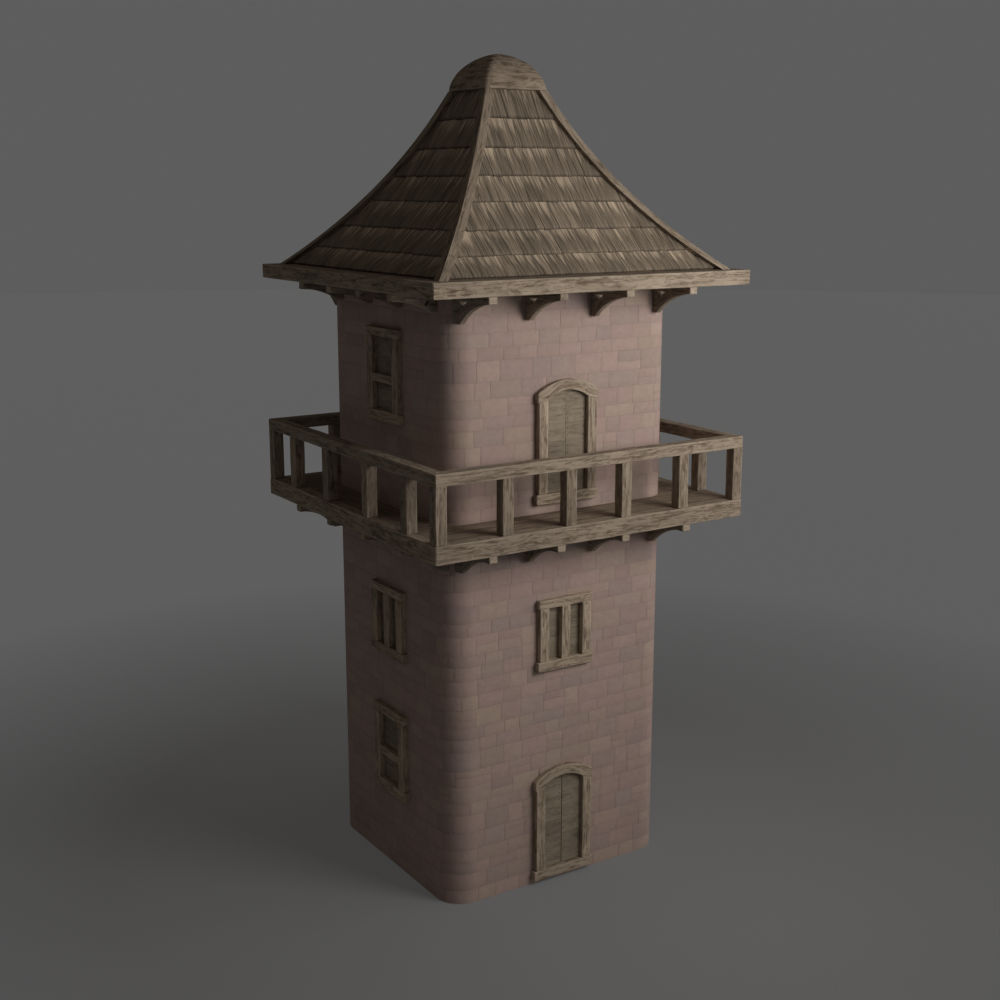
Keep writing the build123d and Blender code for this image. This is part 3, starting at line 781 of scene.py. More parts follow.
@dataclass(frozen=True)
class Courses(Finish):
    """Masonry, flags or boarding on a plain CAD node: rows with joints, each stone its own shade."""

    name: str
    first: Colour
    second: Colour
    joint: Colour
    length: float
    height: float
    gap: float
    relief: float = 0.006

    def build(self) -> bpy.types.Material:
        """Makes the material.

        Returns:
            The material.
        """
        s = Surface(self.name)
        where = s.object_place()
        x, y, z = s.split(where)
        facing = s.split(s.node("ShaderNodeNewGeometry").outputs["True Normal"])
        flat = self._mostly(s, facing[2])
        sideways = self._mostly(s, facing[0])
        spot = s.node("ShaderNodeCombineXYZ")
        s.feed(spot.inputs[0], self._choose(s, sideways, y, x))
        s.feed(spot.inputs[1], self._choose(s, flat, y, z))
        rows = s.node("ShaderNodeTexBrick", offset=0.43)
        s.feed(rows.inputs["Vector"], spot.outputs[0])
        for key, value in (("Color1", self.first), ("Color2", self.second), ("Mortar", self.joint),
                           ("Scale", 1.0), ("Mortar Size", self.gap), ("Mortar Smooth", 0.2),
                           ("Brick Width", self.length), ("Row Height", self.height)):
            s.feed(rows.inputs[key], value)
        worn = s.cloud(where, 5.0, 6.0, 0.6, 0.2)
        speck = s.cloud(where, 38.0, 4.0, 0.65)
        level = s.times(s.step(worn, 0.3, 0.7, 0.84, 1.12), s.step(speck, 0.3, 0.7, 0.92, 1.07))
        height = s.sum("SUBTRACT", s.sum("ADD", worn, s.times(speck, 0.3)), rows.outputs["Fac"])
        return s.finish(s.shade(rows.outputs["Color"], level), s.step(worn, 0.3, 0.7, 0.92, 0.78),
                        height, self.relief)

    @staticmethod
    def _mostly(s: Surface, part: bpy.types.NodeSocket) -> bpy.types.NodeSocket:
        """1 where a face looks mostly along the axis of this part of its normal, and 0 elsewhere."""
        return s.sum("GREATER_THAN", s.sum("ABSOLUTE", part, 0.0), 0.7)

    @staticmethod
    def _choose(s: Surface, share: bpy.types.NodeSocket, yes: bpy.types.NodeSocket,
                no: bpy.types.NodeSocket) -> bpy.types.NodeSocket:
        """One of two values.

        Args:
            s: The surface.
            share: 1 or 0.
            yes: The value where share is 1.
            no: The value where it is 0.

        Returns:
            The chosen value.
        """
        node = s.node("ShaderNodeMix", data_type="FLOAT")
        s.feed(node.inputs[0], share)
        s.feed(node.inputs[2], no)
        s.feed(node.inputs[3], yes)
        return node.outputs[0]


@dataclass(frozen=True)
class Shingle(Finish):
    """Split shingles: fibres down the slope, pale streaks near the top of each course, part bleaching of
    the wood and part painted highlight, and painted shade along each course's foot.
    """

    name: str
    dark: Colour
    middle: Colour
    bleach_and_highlight: Colour
    relief: float = 0.012

    def build(self) -> bpy.types.Material:
        """Makes the material. On a shingle, worn runs from 0 at its foot to 1 at the next course, and sets
        where the painted shade at the foot and the part painted highlight near the top fall.

        Returns:
            The material.
        """
        s = Surface(self.name)
        fibre = s.cloud(s.grain((1.3, 45.0, 12.0)), 1.0, 6.0, 0.6, 0.25)
        streak = s.cloud(s.grain((0.9, 15.0, 4.0)), 1.0, 4.0, 0.6, 0.3)
        patch = s.cloud(s.grain((1.0, 1.6, 1.0)), 1.0, 3.0, 0.5)
        wood = s.ramp(fibre, ((0.24, self.dark), (0.40, self.middle), (1.0, self.bleach_and_highlight)))
        # pale streaks nearer each course's top: part bleaching of the wood, part painted highlight on the
        # upper part of the course
        reach = s.sum("ADD", s.read("worn"), s.step(streak, 0.36, 0.64, -0.50, 0.32))
        streaked = s.mix(s.step(reach, 0.62, 1.10), wood, self.bleach_and_highlight)
        # painted shade: the lowest share of each shingle is darkened, down to 0.22 at its foot, to draw the
        # shadow line under each course
        foot = s.step(s.read("worn"), 0.0, 0.13, 0.22, 1.0)
        level = s.times(s.times(foot, s.step(patch, 0.3, 0.7, 0.85, 1.12)),
                        s.step(s.read("tone"), 0.0, 1.0, 0.86, 1.12))
        height = s.sum("ADD", fibre, s.times(streak, 0.5))
        return s.finish(s.shade(streaked, level), s.step(fibre, 0.3, 0.7, 0.95, 0.8), height, self.relief)


@dataclass(frozen=True)
class Iron(Finish):
    """Blackened iron with rust in its hollows."""

    name: str
    black: Colour
    rust: Colour
    relief: float = 0.0015

    def build(self) -> bpy.types.Material:
        """Makes the material.

        Returns:
            The material.
        """
        s = Surface(self.name)
        where = s.object_place()
        cloud = s.cloud(where, 14.0, 6.0, 0.6, 0.3)
        grit = s.cloud(where, 160.0, 3.0, 0.6)
        colour = s.mix(s.step(cloud, 0.48, 0.66, 0.0, 0.75), self.black, self.rust)
        s.shader.inputs["Metallic"].default_value = 0.6
        return s.finish(colour, s.step(cloud, 0.4, 0.65, 0.5, 0.85), grit, self.relief)


@dataclass(frozen=True)
class Plaster(Finish):
    """The plain studio floor: dimly lit from within, and as bright as the backdrop far from the object."""

    name: str
    colour: Colour
    glow: Colour
    backdrop: Colour
    near: float = 8.0
    far: float = 20.0

    def build(self) -> bpy.types.Material:
        """Makes the material.

        Returns:
            The material.
        """
        s = Surface(self.name)
        where = s.object_place()
        reach = s.node("ShaderNodeVectorMath", operation="LENGTH")
        s.feed(reach.inputs[0], where)
        share = s.step(reach.outputs["Value"], self.near, self.far, 0.0, 1.0)
        s.feed(s.shader.inputs["Emission Color"], s.mix(share, self.glow, self.backdrop))
        s.shader.inputs["Emission Strength"].default_value = 1.0
        s.shader.inputs["Specular IOR Level"].default_value = 0.0
        cloud = s.cloud(where, 0.4, 2.0)
        return s.finish(s.mix(share, self.colour, (0.0, 0.0, 0.0)), 0.9, cloud, 0.0)


TRIM = Timber("weathered_trim", (0.076, 0.049, 0.033), (0.172, 0.131, 0.095), (0.303, 0.247, 0.190),
              (0.375, 0.314, 0.244))
FRAMING = Timber("weathered_framing", (0.105, 0.068, 0.046), (0.240, 0.183, 0.132),
                 (0.415, 0.340, 0.262), (0.500, 0.420, 0.330))
DECKING = Timber("deck_boarding", (0.090, 0.066, 0.048), (0.165, 0.122, 0.089), (0.225, 0.170, 0.126),
                 (0.26, 0.20, 0.15), edge_share=0.35, check_depth=0.5)
BOARDING = Timber("grey_boarding", (0.115, 0.093, 0.070), (0.188, 0.155, 0.116), (0.245, 0.205, 0.156),
                  (0.29, 0.245, 0.18), edge_share=0.35, check_depth=0.45, relief=0.006)
BLOCKS = Stone("dressed_blocks", (0.395, 0.286, 0.262), (0.405, 0.312, 0.262), (0.345, 0.268, 0.250))
INNER_WALL = Courses("inner_masonry", (0.35, 0.265, 0.23), (0.29, 0.235, 0.21), (0.235, 0.185, 0.16),
                     length=0.52, height=0.285, gap=0.012)
FLAGS = Courses("stone_flags", (0.24, 0.21, 0.185), (0.19, 0.17, 0.15), (0.10, 0.09, 0.08),
                length=0.62, height=0.42, gap=0.012)
PLANKS = Courses("floor_planks", (0.15, 0.11, 0.08), (0.11, 0.08, 0.06), (0.03, 0.022, 0.016),
                 length=3.1, height=0.19, gap=0.006)
SHINGLES = Shingle("split_shingles", (0.066, 0.051, 0.037), (0.124, 0.099, 0.074), (0.50, 0.405, 0.305))
IRON = Iron("blackened_iron", (0.028, 0.027, 0.026), (0.10, 0.045, 0.022))
BACKDROP = (0.1095, 0.1095, 0.1095)
FLOOR = Plaster("studio_floor", (0.180, 0.185, 0.195), (0.036, 0.036, 0.036), BACKDROP)


def dress(finish: Finish, slot: Slot, *nodes: str) -> None:
    """Gives CAD nodes that stay in view a finish.

    Args:
        finish: What they are made of.
        slot: A material slot for that; not used.
        nodes: The nodes.
    """
    for name in nodes:
        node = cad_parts[name]
        node.data.materials.clear()
        node.data.materials.append(finish.material())
        LOG.info("%s: dressed", name)


# ---- masonry ----


@dataclass(frozen=True)
class Opening:
    """A hole through one wall: its middle along the frame's own axis, foot, head and half width."""

    side: Side
    middle: float
    foot: float
    head: float
    half: float = 0.5


@dataclass(frozen=True)
class Block:
    """One stone, unrolled: its start and end round the tower, its bottom and its top."""

    start: float
    end: float
    bottom: float
    top: float

    def without(self, other: "Block", least: float = 0.05) -> list["Block"]:
        """Cuts a hole out of the stone.

        Args:
            other: The hole.
            least: What is left narrower or lower than this is left out.

        Returns:
            The stones that are left.
        """
        if other.start >= self.end or other.end <= self.start:
            return [self]
        if other.bottom >= self.top or other.top <= self.bottom:
            return [self]
        low, high = max(self.start, other.start), min(self.end, other.end)
        rest = [
            Block(self.start, low, self.bottom, self.top),
            Block(high, self.end, self.bottom, self.top),
            Block(low, high, self.bottom, other.bottom),
            Block(low, high, other.top, self.top),
        ]
        return [b for b in rest if b.end - b.start > least and b.top - b.bottom > least]


@dataclass
class Masonry:
    """The walls: single dressed blocks laid in courses on the frame's plain masonry.

    A stone stands out by stand and runs sink deep into the wall. Its edges are rubbed and set back
    by rim_drop, its corners drawn in by the share corner_rub of the rub, its face swells by swell
    and its outline strays by stray. Its points lie about column and row apart. In courses over
    least_halved high, the share halved of the stones is laid as two low ones.
    """

    openings: Sequence[Opening]
    radius: float = 0.52
    joint: float = 0.003
    rub: float = 0.008
    corner_rub: float = 0.55
    stand: float = 0.0040
    rim_drop: float = 0.0012
    swell: float = 0.0012
    stray: float = 0.0035
    sink: float = 0.018
    least_course: float = 0.21
    most_course: float = 0.37
    least_length: float = 0.30
    most_length: float = 0.72
    first_shift: float = 0.4
    halved: float = 0.14
    least_halved: float = 0.3
    column: float = 0.06
    row: float = 0.13

    def __post_init__(self) -> None:
        """Reads the walls' size from the frame."""
        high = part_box("corner_piers")[1]
        self.top = high.z
        self.runs = (2 * (high.x - self.radius), 2 * (high.y - self.radius))
        self.bend = self.radius * math.pi / 2
        self.round = 2 * sum(self.runs) + 4 * self.bend
        self.walls = {side: on_wall(side) for side in Side}

    def side_start(self, side: Side) -> float:
        """Where a wall's straight part starts, going round the tower."""
        return sum(self.runs[k % 2] + self.bend for k in range(side.turns))

    def at(self, along: float, out: float, up: float) -> Vector:
        """A place on the unrolled walls.

        Args:
            along: Distance round the tower from the front wall's left end.
            out: Distance out from the wall's face.
            up: Height.

        Returns:
            The frame's point for it.
        """
        along %= self.round
        for side, place in self.walls.items():
            run = self.runs[side.turns % 2]
            if along <= run:
                return place(along - run / 2, out, up)
            along -= run
            if along <= self.bend:
                turn = along / self.radius
                grown = self.radius + out
                return place(run / 2 + grown * math.sin(turn), grown * math.cos(turn) - self.radius, up)
            along -= self.bend
        return self.at(0.0, out, up)

    def holes(self) -> list[Block]:
        """Unrolls the openings.

        Returns:
            Each opening, and the same again a whole round further on.
        """
        found = []
        for opening in self.openings:
            run = self.runs[opening.side.turns % 2]
            middle = self.side_start(opening.side) + run / 2 + opening.side.hand * opening.middle
            start, end = middle - opening.half, middle + opening.half
            found += [Block(start + turn, end + turn, opening.foot, opening.head)
                      for turn in (0.0, self.round)]
        return found

    def blocks(self) -> list[Block]:
        """Lays out the stones course by course, and cuts them round the openings.

        Returns:
            Every stone of the walls.
        """
        chance = random.Random(41)
        laid = []
        bottom = 0.0
        while bottom < self.top - TINY:
            top = bottom + chance.uniform(self.least_course, self.most_course)
            if self.top - top < self.least_course:
                top = self.top
            start = chance.uniform(0.0, self.first_shift)
            last = start + self.round
            while start < last - TINY:
                end = start + chance.uniform(self.least_length, self.most_length)
                if last - end < self.least_length:
                    end = last
                if chance.random() < self.halved and top - bottom > self.least_halved:
                    middle = bottom + (top - bottom) * chance.uniform(0.42, 0.58)
                    laid += [Block(start, end, bottom, middle), Block(start, end, middle, top)]
                else:
                    laid.append(Block(start, end, bottom, top))
                start = end
            bottom = top
        for hole in self.holes():
            laid = [rest for block in laid for rest in block.without(hole)]
        return laid

    @staticmethod
    def _lines(start: float, end: float, rub: float, count: int) -> list[float]:
        """Where the points of a stone's face lie in one direction.

        Args:
            start: One edge.
            end: The other edge.
            rub: How wide the edges are rubbed.
            count: How many steps the face between those is divided into.

        Returns:
            Both edges, with the face's lines between them.
        """
        face = end - start - 2 * rub
        return [start, *(start + rub + face * k / count for k in range(count + 1)), end]

    @staticmethod
    def _faces(wide: int, tall: int) -> list[Sequence[int]]:
        """The faces of one stone, whose back's two lines of points follow its front's.

        Args:
            wide: Points in each line.
            tall: Lines on its front.

        Returns:
            The front's faces, then the back, underside and top, then both ends.
        """
        faces: list[Sequence[int]] = []
        for j in range(tall - 1):
            for i in range(wide - 1):
                k = j * wide + i
                faces.append((k, k + 1, k + wide + 1, k + wide))
        upper, back = (tall - 1) * wide, tall * wide
        for i in range(wide - 1):
            low, high = back + i, back + wide + i
            faces.append((low + 1, low, high, high + 1))
            faces.append((i + 1, i, low, low + 1))
            faces.append((upper + i, upper + i + 1, high + 1, high))
        left = [j * wide for j in range(tall)]
        right = [k + wide - 1 for k in reversed(left)]
        return [*faces, [*left, back + wide, back], [*right, back + wide - 1, back + 2 * wide - 1]]

    def lay(self, work: Work, block: Block) -> None:
        """Adds one stone to a piece.

        Args:
            work: The piece.
            block: The stone.
        """
        stand = self.stand * work.chance.uniform(0.8, 1.2)
        rub = self.rub * work.chance.uniform(0.8, 1.3)
        start, end = block.start + self.joint / 2, block.end - self.joint / 2
        bottom = block.bottom + self.joint / 2 if block.bottom > 0 else 0.0
        top = block.top - self.joint / 2
        us = self._lines(start, end, rub, max(2, round((end - start) / self.column)))
        vs = self._lines(bottom, top, rub, max(1, round((top - bottom) / self.row)))
        wide, tall = len(us), len(vs)
        shift = work.shift()
        points, grain, worn = [], [], []
        for j, v in enumerate(vs):
            on_ground = v == 0.0
            for i, u in enumerate(us):
                across, upright = i in (0, wide - 1), j in (0, tall - 1)
                on_rim = across or upright
                near = i in (1, wide - 2) or j in (1, tall - 2)
                spot = Vector((u, v, 0.0))
                stray = noise.noise(spot * 6.0 + shift) * self.stray
                u_moved = u + (0.0 if on_ground else stray)
                v_moved = v + (0.0 if on_ground else stray * 0.8)
                if across and upright:
                    draw = rub * self.corner_rub
                    u_moved += draw if i == 0 else -draw
                    v_moved += 0.0 if on_ground else (draw if j == 0 else -draw)
                swell = noise.noise(spot * 5.0 + shift) * self.swell
                out = stand + swell - (self.rim_drop if on_rim else 0.0)
                points.append(self.at(u_moved, out, v_moved))
                grain.append(spot + shift)
                worn.append(1.0 if on_rim else (0.25 if near else 0.0))
        for v in (bottom, top):
            for u in us:
                points.append(self.at(u, -self.sink, v))
                grain.append(Vector((u, v, 0.0)) + shift)
                worn.append(1.0)
        work.add(points, grain, worn, self._faces(wide, tall))

    def build(self) -> None:
        """Lays every stone and dresses the masonry behind them."""
        works = {side: Work(100 + side.value) for side in Side}
        for block in self.blocks():
            middle = ((block.start + block.end) / 2 + self.bend / 2) % self.round
            owner = [side for side in Side if middle >= self.side_start(side)][-1]
            self.lay(works[owner], block)
        for side, work in works.items():
            work.piece(f"wall_blocks_{side.name.lower()}", BLOCKS, Slot.WALL, crease=50.0)
        dress(INNER_WALL, Slot.WALL, "corner_piers", "front_wall_piers", "front_wall_bands",
              "back_wall_piers", "back_wall_bands", "side_wall_piers", "side_wall_bands")


# ---- doors ----


@dataclass
class Doorway:
    """The frame round one door, and its two leaves of level boards."""

    sill_bottom: float
    leaf_gap: float
    top_gap: float
    meeting_gap: float
    half: float = 0.445
    jamb: float = 0.195
    proud: float = 0.125
    sill_height: float = 0.190
    sill_ear: float = 0.048
    head_ear: float = 0.030
    side_height: float = 1.735
    rise: float = 0.150
    arch_depth: float = 0.190
    arch_steps: int = 22
    end_drop: float = 0.070
    shoulder: float = 0.185
    hole_foot: float = 0.165
    hole_head: float = 2.125
    leaf_front: float = 0.030
    leaf_back: float = -0.020
    leaf_steps: int = 8
    board: float = 0.29
    nail_inset: float = 0.045
    nail_heights: tuple[float, float] = (0.28, 0.72)
    nail_radius: float = 0.009

    def __post_init__(self) -> None:
        """Works out the heights and the wall's own coordinates."""
        self.at = on_wall(Side.FRONT)
        self.sill_top = self.sill_bottom + self.sill_height
        self.spring = self.sill_top + self.side_height
        self.radius = (self.half ** 2 + self.rise ** 2) / (2 * self.rise)

    def opening(self) -> Opening:
        """The hole in the masonry."""
        return Opening(Side.FRONT, 0.0, self.sill_bottom + self.hole_foot,
                       self.sill_bottom + self.hole_head)

    def arch(self, x: float) -> float:
        """Height of the opening's arch at x."""
        return self.spring + math.sqrt(self.radius ** 2 - x ** 2) - (self.radius - self.rise)

    def add_jambs(self, work: Work) -> None:
        """Adds both posts of the frame.

        Args:
            work: The piece.
        """
        outer = self.half + self.jamb
        outer_top = self.spring - self.end_drop * self.jamb / (self.jamb + self.head_ear)
        for hand in (-1, 1):
            ends = []
            for inner_z, outer_z in ((self.sill_top, self.sill_top), (self.spring, outer_top)):
                ends.append((self.at(hand * self.half, 0, inner_z), self.at(hand * outer, 0, outer_z),
                             self.at(hand * outer, self.proud, outer_z),
                             self.at(hand * self.half, self.proud, inner_z)))
            work.timber(ends, TRIMMED)

    def add_head(self, work: Work) -> None:
        """Adds the arched head.

        Args:
            work: The piece.
        """
        end = self.half + self.jamb + self.head_ear
        shoulder = self.spring - self.end_drop + self.shoulder
        crown = self.spring + self.rise + self.arch_depth
        top = arc_points(Vector((-end, shoulder)), Vector((0, crown)), Vector((end, shoulder)),
                         self.arch_steps)
        sections = []
        for point in top:
            x = point.x
            if abs(x) > self.half:
                under = self.spring - self.end_drop * (abs(x) - self.half) / (end - self.half)
            else:
                under = self.arch(x)
            sections.append((self.at(x, 0, under), self.at(x, self.proud, under),
                             self.at(x, self.proud, point.y), self.at(x, 0, point.y)))
        work.timber(sections, TRIMMED)

    def add_sill(self, work: Work) -> None:
        """Adds the sill."""
        end = self.half + self.jamb + self.sill_ear
        work.block(self.at, (-end, 0, self.sill_bottom), (end, self.proud, self.sill_top), 0, TRIMMED)

    def add_leaf(self, work: Work, nails: Work, hand: int) -> None:
        """Adds one leaf of level boards, with nails at both ends of each.

        Args:
            work: The leaf's boards.
            nails: The leaf's nails.
            hand: 1 for the leaf on the +X side, and -1 for the other.
        """
        bottom = self.sill_top + self.leaf_gap
        inner, outer = self.meeting_gap / 2, self.half - self.leaf_gap
        crown = self.arch(inner) - self.top_gap
        boards = round((crown - bottom) / self.board)
        height = (crown - bottom) / boards
        stations = [inner + (outer - inner) * k / self.leaf_steps for k in range(self.leaf_steps + 1)]
        back, front = self.leaf_back, self.leaf_front
        for k in range(boards):
            low, high = bottom + k * height, bottom + (k + 1) * height
            sections = []
            for x in stations:
                top = min(high, self.arch(x) - self.top_gap)
                place = hand * x
                sections.append((self.at(place, back, low), self.at(place, front, low),
                                 self.at(place, front, top), self.at(place, back, top)))
            work.timber(sections, BOARDED)
            for x in (inner + self.nail_inset, outer - self.nail_inset):
                for share in self.nail_heights:
                    up = low + (min(high, self.arch(x) - self.top_gap) - low) * share
                    nails.nail(self.at, hand * x, front, up, self.nail_radius)


@dataclass
class Doors:
    """Both doorways. The ground door's leaves ride on their own bodies."""

    deck_top: float
    ground_sill: float = 0.090
    balcony_sill_rise: float = 0.180

    def __post_init__(self) -> None:
        """Sets out both doorways. Only the ground door's leaves need room to move."""
        self.ground = Doorway(self.ground_sill, leaf_gap=0.006, top_gap=0.008, meeting_gap=0.012)
        self.upper = Doorway(self.deck_top + self.balcony_sill_rise, leaf_gap=0.0003, top_gap=0.0003,
                             meeting_gap=0.0006)

    def add_frames(self) -> None:
        """Makes the jambs, the heads and the sills of both doorways."""
        kinds = (("jambs", "door_jambs", Doorway.add_jambs, 305),
                 ("head", "door_heads", Doorway.add_head, 304),
                 ("sill", "door_sills", Doorway.add_sill, 304))
        for part, node, add, seed in kinds:
            work = Work(seed)
            for doorway in (self.ground, self.upper):
                add(doorway, work)
            work.piece(f"door_frame_{part}", FRAMING, Slot.TIMBER, stands_for=[node])

    def add_leaves(self) -> None:
        """Makes the leaves of both doors, and their nails."""
        for hand, name, seed in ((1, "right", 311), (-1, "left", 309)):
            boards, nails = Work(seed), Work(seed + 4)
            self.ground.add_leaf(boards, nails, hand)
            boards.piece(f"door_boards_{name}", BOARDING, Slot.DOOR, f"door_{name}", [f"door_leaf_{name}"])
            nails.piece(f"door_nails_{name}", IRON, Slot.IRON, f"door_{name}")
        boards, nails = Work(320), Work(321)
        for hand in (1, -1):
            self.upper.add_leaf(boards, nails, hand)
        boards.piece("balcony_door_boards", BOARDING, Slot.DOOR, stands_for=["balcony_door_leaves"])
        nails.piece("balcony_door_nails", IRON, Slot.IRON)

    def build(self) -> None:
        """Makes the frames and the leaves, and dresses the hinges."""
        self.add_frames()
        self.add_leaves()
        dress(IRON, Slot.IRON, "door_straps_right", "door_straps_left", "door_pintles")


# ---- windows ----


class Lights(Enum):
    """How a window is divided."""

    PAIRED = "side by side"
    STACKED = "one above the other"


@dataclass
class Window:
    """One boarded window in its frame."""

    side: Side
    middle: float
    sill_top: float
    height: float
    lights: Lights
    half: float = 0.385
    jamb: float = 0.195
    proud: float = 0.125
    head: float = 0.160
    sill: float = 0.190
    bar: float = 0.150
    mullion: float = 0.190
    lower_light: float = 0.530
    head_ear: float = 0.030
    sill_ear: float = 0.048
    hole_half: float = 0.5
    margin: float = 0.025
    board: float = 0.21
    board_thick: float = 0.04

    def __post_init__(self) -> None:
        """Works out its top and the wall's own coordinates."""
        self.place = on_wall(self.side)
        self.top = self.sill_top + self.height

    def at(self, along: float, out: float, up: float) -> Vector:
        """The frame's point for a place on the wall, with along counted from the window's middle."""
        return self.place(along + self.side.hand * self.middle, out, up)

    def opening(self) -> Opening:
        """The hole in the masonry."""
        return Opening(self.side, self.middle, self.sill_top - self.margin, self.top + self.margin,
                       self.hole_half)

    def add(self, heads: Work, jambs: Work, sills: Work, bars: Work, boards: Work) -> None:
        """Adds the window's timbers, each to the piece of its kind.

        Args:
            heads: The heads.
            jambs: The jambs.
            sills: The sills.
            bars: The mullions and transoms.
            boards: The boards that close the windows.
        """
        jamb_end = self.half + self.jamb
        head_end, sill_end = jamb_end + self.head_ear, jamb_end + self.sill_ear
        foot, front = self.sill_top, self.proud
        heads.block(self.at, (-head_end, 0, self.top), (head_end, front, self.top + self.head), 0, TRIMMED)
        sills.block(self.at, (-sill_end, 0, foot - self.sill), (sill_end, front, foot), 0, TRIMMED)
        for low, high in ((-jamb_end, -self.half), (self.half, jamb_end)):
            jambs.block(self.at, (low, 0, foot), (high, front, self.top), 2, TRIMMED)
        if self.lights is Lights.PAIRED:
            half = self.mullion / 2
            bars.block(self.at, (-half, 0, foot), (half, front, self.top), 2, TRIMMED)
        else:
            bar = foot + self.lower_light
            bars.block(self.at, (-self.half, 0, bar), (self.half, front, bar + self.bar), 0, TRIMMED)
        low = foot - self.margin
        count = round((self.top + self.margin - low) / self.board)
        height = (self.top + self.margin - low) / count
        for k in range(count):
            boards.block(self.at, (-self.hole_half, -self.board_thick, low + k * height),
                         (self.hole_half, 0, low + (k + 1) * height), 0, BOARDED)


@dataclass
class Windows:
    """The ten windows: one between the doors, and three on each other wall.

    Each of front, low, mid and high is the height of a sill's top and the height of the lights.
    """

    shift: float = -0.135
    front: tuple[float, float] = (4.525, 1.035)
    low: tuple[float, float] = (1.765, 1.380)
    mid: tuple[float, float] = (4.590, 1.035)
    high: tuple[float, float] = (9.160, 1.380)

    def all(self) -> list[Window]:
        """Sets out the windows.

        Returns:
            Every window, the front one first.
        """
        found = [Window(Side.FRONT, 0.0, *self.front, Lights.PAIRED)]
        for side in (Side.RIGHT, Side.BACK, Side.LEFT):
            middle = 0.0 if side is Side.BACK else self.shift
            for size, lights in ((self.low, Lights.STACKED), (self.mid, Lights.PAIRED),
                                 (self.high, Lights.STACKED)):
                found.append(Window(side, middle, *size, lights))
        return found

    def build(self) -> None:
        """Makes each kind of timber one piece."""
        kinds = ("heads", "jambs", "sills", "bars", "boards")
        works = {kind: Work(400 + k) for k, kind in enumerate(kinds)}
        for window in self.all():
            window.add(*works.values())
        for kind, work in works.items():
            closing = kind == "boards"
            work.piece(f"window_timber_{kind}", BOARDING if closing else FRAMING,
                       Slot.DECK if closing else Slot.TIMBER, stands_for=[f"window_{kind}"])


# ---- balcony and eaves ----


def mitred(work: Work, side: Side, half: float, width: float, bottom: float, top: float,
           dressing: Dressing) -> None:
    """Adds one side of a square frame, mitred at both ends.

    Args:
        work: The piece.
        side: Which side.
        half: Half the square's width.
        width: The timber's width.
        bottom: Its underside.
        top: Its top.
        dressing: How it is worked.
    """
    at = wall_place(side, half)
    inner = half - width
    sections = []
    for hand in (-1, 1):
        sections.append((at(hand * half, 0, bottom), at(hand * half, 0, top),
                         at(hand * inner, -width, top), at(hand * inner, -width, bottom)))
    work.timber(sections, dressing)


@dataclass
class Brackets:
    """One row of brackets on each wall: a level arm and a brace hollowed underneath.

    An inset is the distance from a wall's end to its first bracket's middle, and a shift moves a
    wall's whole row. The hole beside the wall, between arm and brace, runs from leg to hole_end
    under the arm and down to hole_low and hole_drop; hole_shares is where along the brace it is
    lowest and where it ends.
    """

    name: str
    top: float
    half: float
    seed: int
    left_inset: float
    left_shift: float
    right_inset: float
    side_drop: float
    inset: float = 0.358
    front_shift: float = 0.102
    side_shift: float = 0.137
    count: int = 4
    width: float = 0.172
    brace_width: float = 0.110
    arm: float = 0.128
    drop: float = 0.530
    foot: float = 0.115
    leg: float = 0.115
    hole_end: float = 0.355
    hole_low: float = 0.185
    hole_drop: float = 0.235
    hole_shares: tuple[float, float] = (0.15, 0.45)
    setback: float = 0.008
    buried: float = 0.25
    steps: int = 20

    def places(self, side: Side) -> list[float]:
        """Places of the brackets' middles along a wall.

        Args:
            side: Which wall.

        Returns:
            One place for each bracket.
        """
        inset = {Side.LEFT: self.left_inset, Side.RIGHT: self.right_inset}.get(side, self.inset)
        shift = {Side.FRONT: -self.front_shift, Side.BACK: self.front_shift, Side.LEFT: self.left_shift,
                 Side.RIGHT: self.side_shift}[side]
        pitch = (wall_width(side) - 2 * inset) / (self.count - 1)
        return [shift + (k - (self.count - 1) / 2) * pitch for k in range(self.count)]

    def add_brace(self, work: Work, at: Place, place: float, length: float, drop: float) -> None:
        """Adds one brace, whose underside rounds to level at the arm's end.

        Args:
            work: The piece.
            at: The wall's own coordinates.
            place: The bracket's place along the wall.
            length: The arm's reach from the wall.
            drop: How far the brace reaches down from the arm's top.
        """
        under, low = self.top - self.arm, self.top - drop
        run, rise = length - self.foot, under - low
        radius = (run ** 2 + rise ** 2) / (2 * rise)
        full = math.atan2(run, radius - rise)
        bends = ((0.0, Vector((self.leg, under))),
                 (self.hole_shares[0], Vector((self.hole_low, self.top - self.hole_drop))),
                 (self.hole_shares[1], Vector((self.hole_end, under))), (1.0, Vector((length, under))))
        pairs = [(Vector((-self.buried, low)), Vector((-self.buried, under)))]
        for k in range(self.steps):
            share = k / self.steps
            turn = full * (1 - share)
            outer = Vector((length - radius * math.sin(turn), under - radius * (1 - math.cos(turn))))
            for (start, first), (end, last) in zip(bends, bends[1:]):
                if start <= share <= end:
                    pairs.append((outer, first.lerp(last, (share - start) / (end - start))))
                    break
        near, far = place - self.brace_width / 2, place + self.brace_width / 2
        sections = [(at(near, o.x, o.y), at(far, o.x, o.y), at(far, i.x, i.y), at(near, i.x, i.y))
                    for o, i in pairs]
        work.timber(sections, BENT)

    def build(self) -> None:
        """Makes all the arms one piece and all the braces another."""
        arms, braces = Work(self.seed), Work(self.seed + 1)
        for side in Side:
            at = on_wall(side)
            length = self.half - self.setback - wall_reach(side)
            drop = self.drop if side.faces_y else self.side_drop
            for place in self.places(side):
                arms.block(at, (place - self.width / 2, -self.buried, self.top - self.arm),
                           (place + self.width / 2, length, self.top), 1, TRIMMED)
                self.add_brace(braces, at, place, length, drop)
        for kind, work in (("arms", arms), ("braces", braces)):
            work.piece(f"{self.name}_{kind}", TRIM, Slot.TIMBER, stands_for=[f"{self.name}_bracket_{kind}"])


